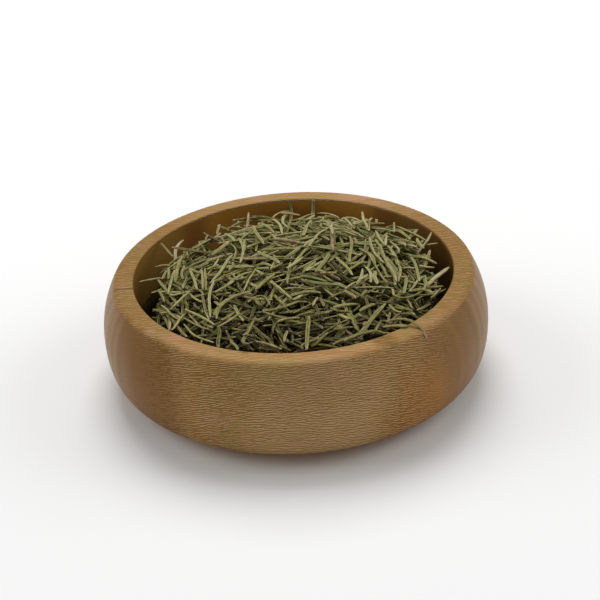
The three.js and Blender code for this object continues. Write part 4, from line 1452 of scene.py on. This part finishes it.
MIDDLE_LEAVES = [
    ((225, 287), (238, 276.5), (252, 272), 1.1, 0.80, 0.2),
    ((255, 269), (243, 291), 1.1, 0.85, 0.2),
    ((303, 255), (295, 262), (287, 268), 1.6, 0.95, 0.05),
    ((282, 262), (277, 266), (271, 268), 1.3, 0.90, 0.1),
    ((318, 241), (303, 249), (287, 257), 1.1, 0.80, 0.15),
    ((274, 274), (264, 282), (255, 289), 1.6, 0.70, 0.1),
    ((270, 281), (281, 289), (292, 299), 1.1, 0.80, 0.15),
    ((291, 264), (288.5, 273), (288, 283), 1.1, 0.80, 0.2),
    ((315, 261), (309, 267), (302, 272), 1.5, 0.95, -0.6),
    ((248, 299), (261, 294.5), (270, 306), 1.1, 0.60, 0.6),
    ((253, 297), (257, 301), (260, 305), 1.6, 0.75, 0.2),
    ((262, 307), (280, 309), (300, 306.5), 1.1, 0.75, 0.15),
    ((299, 307), (307, 309), (315, 311), 1.1, 0.75, 0.2),
    ((285, 290), (300, 287.5), (315, 287.5), 1.0, 0.90, 0.1),
    ((293, 299.5), (298, 297), (303, 295), 1.1, 1.00, 0.3),
    ((296, 275), (306, 273.5), (315, 274), 1.1, 0.60, -0.6),
    ((235, 268), (245, 267), (254, 267), 1.0, 0.80, 0.1),
    ((231, 273), (236, 277), 1.1, 0.80, 0.2),
    ((234, 262), (230, 270), 1.1, 0.75, 0.2),
    ((257, 267), (263, 263.5), (272, 266), 1.1, 0.80, 0.15),
    ((263, 312), (276, 316), (290, 319), 1.1, 0.70, 0.2),
    ((317.5, 297), (312.5, 305.5), 1.1, 0.95, 0.3),
    ((256, 279), (262, 276), (267, 275), 1.6, 0.10, 0.8),
    ((301, 279), (308, 282.5), (315, 286), 1.1, 0.60, 0.4),
    ((329, 247), (316, 259), (302, 271.5), 1.6, 0.95, 0.05),
    ((329.5, 254), (324, 262), (315, 271.5), 1.5, 0.60, -0.6),
    ((320, 272.5), (328, 272.5), (336, 273), 1.2, 0.70, 1.0),
    ((300, 276), (312, 276), (327, 279.5), 1.1, 0.75, -0.6),
    ((300, 278.5), (315, 279), (334, 281.5), 1.2, 0.10, -0.6),
    ((305, 279.5), (319, 283), (340, 284), 1.2, 0.75, -0.6),
    ((336, 257), (345, 265.5), (353, 275), 1.2, 0.75, 0.15),
    ((356.5, 284), (361, 277), (362.5, 268.5), 1.3, 0.95, 0.15),
    ((371.5, 282), (370, 273), (366, 266.5), 1.3, 0.95, 0.1),
    ((374, 271), (375.5, 277), (376.5, 284), 1.6, 0.80, 0.1),
    ((360, 281), (364, 278), (368, 275.5), 1.1, 0.95, 0.3),
    ((345, 288.5), (351, 284.5), (357, 281), 1.2, 0.90, 0.2),
    ((355, 287), (372, 286.5), (394, 288), 1.0, 0.85, 0.2),
    ((344.5, 291.5), (350, 291.3), (356, 292.5), 1.2, 1.00, 0.4),
    ((332, 297), (338, 293.5), (345, 291.5), 1.0, 0.65, 0.5),
    ((303, 287.5), (315, 286), (327, 287), 1.0, 0.65, 0.5),
    ((352, 298.5), (356, 297), (361, 294.5), 1.4, 0.75, 0.5),
    ((361, 296), (364, 293), (367, 290), 1.2, 0.65, 0.1),
    ((369, 297), (375, 295.5), (379, 292), 1.1, 0.65, 0.4),
    ((333, 307), (345, 304.8), (358, 303.5), 1.2, 0.90, 0.3),
    ((324, 300), (334, 302.5), (345, 304), 1.1, 0.75, -0.6),
    ((330, 308), (341, 310.5), (352, 312), 1.1, 0.70, 0.1),
    ((339.5, 314), (344, 317), (349.5, 319.5), 1.6, 1.00, 0.1),
    ((360, 311), (367, 306.5), (375, 304), 1.6, 0.80, 0.05),
    ((353, 311), (357, 308), (360, 305), 1.1, 0.70, 0.1),
    ((354.5, 335.5), (371, 319), (387, 302), 1.6, 0.85, 0.1),
    ((320, 294), (322, 300), (324, 307), 1.2, 0.55, 0.5),
    ((306, 318), (316, 314), (329, 312.5), 1.6, 0.65, 0.5),
]
LEFT_LEAVES = [
    ((170, 265), (156, 266), 1.4, 0.65, 0.6),
    ((194, 267.5), (201, 266), (208.5, 263.5), 1.2, 0.95, -0.6),
    ((183, 263), (178, 272), (176, 284), 1.6, 0.70, 0.1),
    ((175, 272), (171, 282), (168, 292), 1.1, 0.80, 0.2),
    ((167, 270), (162, 279), 1.1, 0.70, 0.3),
    ((169, 268), (168.5, 279), 1.1, 0.80, 0.2),
    ((183, 266), (182, 279), 1.1, 0.70, 0.2),
    ((187, 275), (183, 288), 1.1, 0.75, 0.2),
    ((191, 270), (193.5, 279), (198, 289), 1.1, 0.90, 0.1),
    ((202, 270), (203, 289), 1.0, 0.75, 0.2),
    ((205, 268), (206, 290), 1.0, 0.70, 0.2),
    ((170, 295), (183, 293.5), 1.1, 0.90, 0.1),
    ((159, 291), (165, 302), 1.1, 0.70, 0.3),
    ((215, 292), (224, 287), (234, 281), 1.1, 0.90, 0.1),
    ((233, 255), (223, 266.5), (211, 283), 1.2, 0.95, 0.05),
    ((214, 279), (209.5, 300), (210, 319), 1.1, 0.95, 0.1),
    ((207, 269), (213, 268), (219, 268), 1.1, 0.80, 0.2),
    ((224, 274), (233, 281), 1.2, 0.50, 0.8),
    ((216, 295), (231, 293), 1.1, 0.60, 0.1),
    ((188, 292), (196, 288.5), (203, 295), 1.0, 0.55, 0.7),
    ((171, 309), (180, 299.5), (190, 291), 1.6, 0.75, 0.2),
    ((183, 308), (200, 316.5), (217, 327), 1.6, 0.90, 0.1),
    ((202, 322), (213, 328), 1.1, 0.80, 0.2),
    ((217, 327), (228, 321), (240, 313), 1.1, 0.95, 0.1),
    ((222, 320), (237, 311), 1.1, 0.80, 0.2),
    ((216.5, 319), (224.5, 302.5), (250, 291), 1.1, 0.85, 0.2),
    ((202, 294), (204.5, 306), (209, 320), 1.1, 0.60, 0.6),
    ((214, 301), (221, 306), 1.1, 0.80, 0.2),
    ((233.5, 305), (238, 312.5), (243, 321), 1.2, 0.90, 0.5),
    ((184.5, 312), (178, 321), (172, 331), 1.2, 1.00, 0.2),
    ((161, 303), (169, 311), (179, 320), 1.1, 0.70, 0.2),
    ((184, 318), (198, 325.5), (214, 330), 1.1, 0.75, 0.15),
    ((182, 322), (196, 335), (214, 345), 1.2, 0.90, 0.1),
    ((176, 326), (187, 337), 1.1, 0.75, 0.2),
    ((219, 328), (218.5, 345.5), 1.6, 0.55, -0.6),
    ((230, 340), (234, 343.5), (237, 350), 1.4, 1.00, -0.6),
    ((193, 303), (199, 309), 1.3, 0.30, 0.8),
    ((160, 313), (169, 312), 1.1, 0.65, 0.5),
]
FRONT_LEAVES = [
    ((249, 326), (246, 334), 1.2, 0.60, -0.6),
    ((232, 334), (240, 332.5), (248, 331), 1.2, 0.40, 0.6),
    ((238, 325), (244, 323.5), (250, 322), 1.1, 0.70, 0.6),
    ((226, 347), (236, 343), 1.1, 0.60, 0.2),
    ((246, 334.5), (251, 326), (255.5, 317.5), 1.1, 0.80, 0.05),
    ((253, 325.5), (261, 333), (271, 340.5), 1.0, 0.75, 0.15),
    ((245, 350), (243.8, 342), (245, 335), 1.4, 0.80, -0.6),
    ((256.5, 336), (249, 335), (243, 334.5), 1.1, 0.85, 0.9),
    ((265.5, 320), (269, 330), (276, 345), 1.1, 0.70, 0.4),
    ((279, 322), (274, 325.5), (273, 333), 1.0, 0.60, 0.4),
    ((278, 322), (288, 320), (300, 321.5), 1.5, 0.85, 0.1),
    ((270, 316), (278, 316), (288, 317.5), 1.1, 0.65, 0.4),
    ((287, 326.5), (285.3, 333), (284, 340.5), 1.1, 1.00, 0.5),
    ((276, 329), (280, 333.5), 1.1, 0.75, 0.2),
    ((282, 348.5), (267, 344), (256.5, 341.5), 1.3, 0.90, 0.5),
    ((280, 345), (285, 348), (291, 350.5), 1.1, 0.75, 0.3),
    ((259, 347.5), (270, 349), (281, 349), 1.1, 0.50, 0.6),
    ((308.5, 316), (307.8, 332), (306, 349.5), 1.6, 0.95, 0.15),
    ((289, 331), (294, 333), (301, 336.5), 1.1, 0.60, 0.1),
    ((296, 339.5), (304, 338), 1.1, 0.70, 0.4),
    ((309, 338), (320, 338), 1.0, 0.85, 0.1),
    ((311, 346.5), (319, 340), (328, 332), 1.1, 0.85, 0.1),
    ((287, 341), (295, 344), (303, 349), 1.2, 0.50, 0.8),
    ((292, 339), (299, 342), (306, 346), 1.1, 0.45, 0.8),
    ((313, 322), (318, 325), (323, 328.5), 1.1, 0.75, 0.4),
    ((320, 317), (323, 324), 1.6, 0.50, 1.0),
    ((325, 322), (332, 323.5), (338, 322.5), 1.1, 0.50, -0.6),
    ((301, 346), (310, 341), (319, 337), 1.1, 0.85, 0.05),
    ((319, 336), (333, 327), (348, 320), 1.1, 0.65, 0.3),
    ((352, 322), (355, 326), (359, 330.5), 1.3, 0.85, 0.5),
    ((334, 327), (343, 328), (353, 328), 1.1, 0.65, 0.2),
    ((331, 333), (337, 334), (343, 336), 1.2, 0.60, 0.8),
    ((343, 336.5), (352, 336.5), (363, 336), 1.1, 0.35, 0.5),
    ((364, 334), (366.5, 331), 1.3, 1.00, 0.3),
    ((333, 346), (341, 342), (349, 339), 1.2, 0.95, 0.2),
]
TOP_LEAVES = BACK_LEAVES + RIGHT_LEAVES + MIDDLE_LEAVES + LEFT_LEAVES + FRONT_LEAVES
TOP_SINK = 0.1 * MM
TOP_STEEPEST = 0.3  # the most that one rises, as a share of its length
TOP_PASSES = 8  # each brings a leaf's place nearer to its sight lines at the height it comes to
TOP_LONGEST = 22 * MM
TOP_WALL_GAP = 1.0 * MM
SENSOR = 36  # millimetres, across the camera's sensor


def look_along(elevation, roll):
    """The camera's turn: it looks along +Y and down, and leans by the roll."""
    back = Vector((0, -math.cos(elevation), math.sin(elevation)))
    right = Vector((1, 0, 0))
    up = Vector((0, math.sin(elevation), math.cos(elevation)))
    leaned_right = right * math.cos(roll) - up * math.sin(roll)
    leaned_up = right * math.sin(roll) + up * math.cos(roll)
    return Matrix((leaned_right, leaned_up, back)).transposed(), back


class Sight:
    """Where the camera's frame falls on the bowl."""

    def __init__(self, stage, rim):
        self.turn, back = look_along(stage.elevation, stage.roll)
        self.camera = Vector((0, 0, rim)) + back * stage.distance
        self.stage = stage
        self.slope = math.tan(stage.elevation)

    def at(self, spot, height):
        """The plan point seen at a spot of the frame, at a height."""
        reach = self.stage.lens / SENSOR
        across = (spot[0] / FRAME - 0.5 + self.stage.shift_x) / reach
        up = (0.5 - spot[1] / FRAME + self.stage.shift_y) / reach
        ray = self.turn @ Vector((across, up, -1))
        point = self.camera + ray * ((height - self.camera.z) / ray.z)
        return np.array(point[:2])


def top_leaf(row, sight, ground, bowl, sizes):
    """Lays a leaf so that it is seen where its row says, at the height that it comes to."""
    *spots, width, tone, warmth = row
    width = width * MM
    heights = np.full(3, bowl.height)
    if len(spots) == 2:
        spots = (spots[0], np.mean(spots, 0), spots[1])

    def leaf_along(points):
        return Leaf(*points, width, width * sizes.thickness, 0, tone, warmth)

    for _ in range(TOP_PASSES):
        seen = [sight.at(spot, height) for spot, height in zip(spots, heights)]
        reach = bowl.rim_inner - TOP_WALL_GAP
        foot, middle, tip = (point * min(1, reach / np.hypot(*point)) for point in seen)
        bend = 2 * middle - (foot + tip) / 2
        leaf = leaf_along((foot, bend, tip))
        *_, height, rise = ground.feel(leaf, TOP_STEEPEST, sight.slope)
        heights = (heights + height + np.array([-rise, 0, rise])) / 2
    size = min(1, TOP_LONGEST / np.linalg.norm(tip - foot))
    if size < 1:
        leaf = leaf_along([middle + (point - middle) * size for point in (foot, bend, tip)])
    return ground.lay(leaf, TOP_STEEPEST, TOP_SINK, sight.slope)


# ---------------------------------------------------------------- operators


def laid_ground():
    """The ground with the heap on it."""
    if "ground" not in LAID:
        raise RuntimeError("pour the leaves first, because these lie on them")
    return LAID["ground"]


class TurnBowl(bpy.types.Operator):
    """Turns the wooden bowl"""

    bl_idname = "rosemary.turn_bowl"
    bl_label = "Turn the bowl"

    def execute(self, context):
        bowl = context.scene.bowl_sizes
        points, faces = turned(bowl_profile(bowl), bowl.sides)
        material = made_once(wood_material, context.scene.finishes)
        add_piece("turned_bowl", points, faces, material, ["bowl"])
        return {"FINISHED"}


class PourLeaves(bpy.types.Operator):
    """Pours the dried leaves into the bowl"""

    bl_idname = "rosemary.pour_leaves"
    bl_label = "Pour the leaves"

    def execute(self, context):
        scene = context.scene
        heap, bowl, sizes = scene.heap_sizes, scene.bowl_sizes, scene.leaf_sizes
        material = made_once(leaf_material, scene.finishes)
        LAID["ground"], buried, packed, topping = fallen_leaves(heap, bowl, sizes)
        draws = Draws(LEAVES_SEED)
        add_bed(heap, bowl, scene.finishes)
        add_leaves("buried_leaves", buried, draws, material, BURIED_LOOK, ["leaf_heap"])
        add_leaves("packed_leaves", packed, draws, material, PACKED_LOOK, ["leaf_heap"])
        add_leaves("topping_leaves", topping, draws, material, TOPPING_LOOK, ["leaf_heap"])
        return {"FINISHED"}


class LayStalks(bpy.types.Operator):
    """Lays the bits of brown stalk"""

    bl_idname = "rosemary.lay_stalks"
    bl_label = "Lay the stalks"

    def execute(self, context):
        scene = context.scene
        ground = laid_ground()
        material = made_once(stalk_material, scene.finishes)
        draws = Draws(STALKS_SEED)
        faces = tube_faces(len(TWIG_STATIONS), TWIG_SIDES, 0)
        for node in STALKS:
            points = twig_points(single_stalk(node, ground, scene.leaf_sizes), draws)
            add_piece("twig_" + node, points, faces, material, [node])
        return {"FINISHED"}


class LayTopLeaves(bpy.types.Operator):
    """Lays the leaves that can be told apart on top of the heap"""

    bl_idname = "rosemary.lay_top_leaves"
    bl_label = "Lay the top leaves"

    def execute(self, context):
        scene = context.scene
        ground = laid_ground()
        bowl, sizes = scene.bowl_sizes, scene.leaf_sizes
        sight = Sight(scene.stage_sizes, bowl.height)
        material = made_once(leaf_material, scene.finishes)
        rows = sorted(TOP_LEAVES, key=lambda row: row[-2])
        leaves = [top_leaf(row, sight, ground, bowl, sizes) for row in rows]
        add_leaves("top_leaves", leaves, Draws(TOP_SEED), material, TOPPING_LOOK, ["leaf_heap"])
        return {"FINISHED"}


class LaySingles(bpy.types.Operator):
    """Lays the single leaves that lap the rim and lean on the wall"""

    bl_idname = "rosemary.lay_singles"
    bl_label = "Lay the single leaves"

    def execute(self, context):
        scene = context.scene
        material = made_once(leaf_material, scene.finishes)
        draws = Draws(SINGLES_SEED)
        for node in SINGLES:
            leaf = single_leaf(node, scene.bowl_sizes, scene.leaf_sizes)
            add_leaves("single_" + node, [leaf], draws, material, TOPPING_LOOK, [node])
        return {"FINISHED"}


class SetStage(bpy.types.Operator):
    """Sets the floor, the soft light and the camera"""

    bl_idname = "rosemary.set_stage"
    bl_label = "Set the stage"

    def execute(self, context):
        scene = context.scene
        stage = scene.stage_sizes
        add_floor(stage, scene.finishes)
        add_lights(stage)
        add_camera(stage, Vector((0, 0, scene.bowl_sizes.height)))
        scene.view_settings.view_transform = "Standard"
        return {"FINISHED"}


# ---------------------------------------------------------------- the stage

FLOOR_DROP = 0.1 * MM  # the floor lies this far under the foot
WHITE = (1, 1, 1, 1)


def add_object(name, data):
    """A new object of the scene."""
    thing = bpy.data.objects.new(name, data)
    bpy.context.scene.collection.objects.link(thing)
    return thing


def add_floor(stage, colours):
    """The pale surface just under the bowl's foot."""
    material, nodes = new_material("pale_floor")
    shader = nodes.add("ShaderNodeBsdfDiffuse", Color=colours.floor)
    nodes.add("ShaderNodeOutputMaterial", Surface=shader.outputs[0])
    half = stage.floor_size / 2
    mesh = bpy.data.meshes.new("floor")
    corners = [(-half, -half, 0), (half, -half, 0), (half, half, 0), (-half, half, 0)]
    mesh.from_pydata(corners, [], [(0, 1, 2, 3)])
    mesh.materials.append(material)
    floor = add_object("floor", mesh)
    floor.location.z = -FLOOR_DROP


def add_lights(stage):
    """A wide soft light above and behind, a soft one to each side and a weak light all round."""
    above = Vector((0, stage.light_behind, stage.light_height))
    add_light("light_above", above, stage.light_width, stage.light_power)
    for name, side in (("light_left", -1), ("light_right", 1)):
        place = Vector((side * stage.side_distance, stage.side_behind, stage.side_height))
        add_light(name, place, stage.side_size, stage.side_power)
    world = bpy.data.worlds.new("sky")
    world.use_nodes = True
    background = world.node_tree.nodes["Background"]
    background.inputs["Color"].default_value = WHITE
    background.inputs["Strength"].default_value = stage.sky
    bpy.context.scene.world = world


def add_light(name, place, size, power):
    """A square soft light that faces the bowl."""
    light = bpy.data.lights.new(name, "AREA")
    light.shape = "SQUARE"
    light.size = size
    light.energy = power
    lamp = add_object(name, light)
    lamp.location = place
    lamp.rotation_euler = place.to_track_quat("Z", "Y").to_euler()


def add_camera(stage, target):
    """A camera that looks at the middle of the rim."""
    turn, back = look_along(stage.elevation, stage.roll)
    data = bpy.data.cameras.new("camera")
    data.lens = stage.lens
    data.shift_x = stage.shift_x
    data.shift_y = stage.shift_y
    camera = add_object("camera", data)
    camera.matrix_world = Matrix.Translation(target + back * stage.distance) @ turn.to_4x4()
    bpy.context.scene.camera = camera


# ---------------------------------------------------------------- the add-on

OPERATORS = (TurnBowl, PourLeaves, LaySingles, LayStalks, LayTopLeaves, SetStage)


class RosemaryPanel(bpy.types.Panel):
    """Lists the steps and their sizes and colours"""

    bl_idname = "VIEW3D_PT_rosemary_bowl"
    bl_label = "Rosemary bowl"
    bl_space_type = "VIEW_3D"
    bl_region_type = "UI"
    bl_category = "Rosemary bowl"

    def draw(self, context):
        for operator in OPERATORS:
            self.layout.operator(operator.bl_idname)
        for name, group in GROUPS.items():
            box = self.layout.box()
            box.label(text=name.replace("_", " "))
            for key in group.__annotations__:
                box.prop(getattr(context.scene, name), key)


CLASSES = (*GROUPS.values(), *OPERATORS, RosemaryPanel)


def register():
    for each in CLASSES:
        bpy.utils.register_class(each)
    for name, group in GROUPS.items():
        setattr(bpy.types.Scene, name, bpy.props.PointerProperty(type=group))


def unregister():
    for name in GROUPS:
        delattr(bpy.types.Scene, name)
    for each in reversed(CLASSES):
        bpy.utils.unregister_class(each)


def main():
    register()
    bpy.ops.rosemary.set_stage()
    bpy.ops.rosemary.turn_bowl()
    bpy.ops.rosemary.pour_leaves()
    bpy.ops.rosemary.lay_stalks()
    bpy.ops.rosemary.lay_top_leaves()
    bpy.ops.rosemary.lay_singles()


if __name__ == "__main__":
    main()
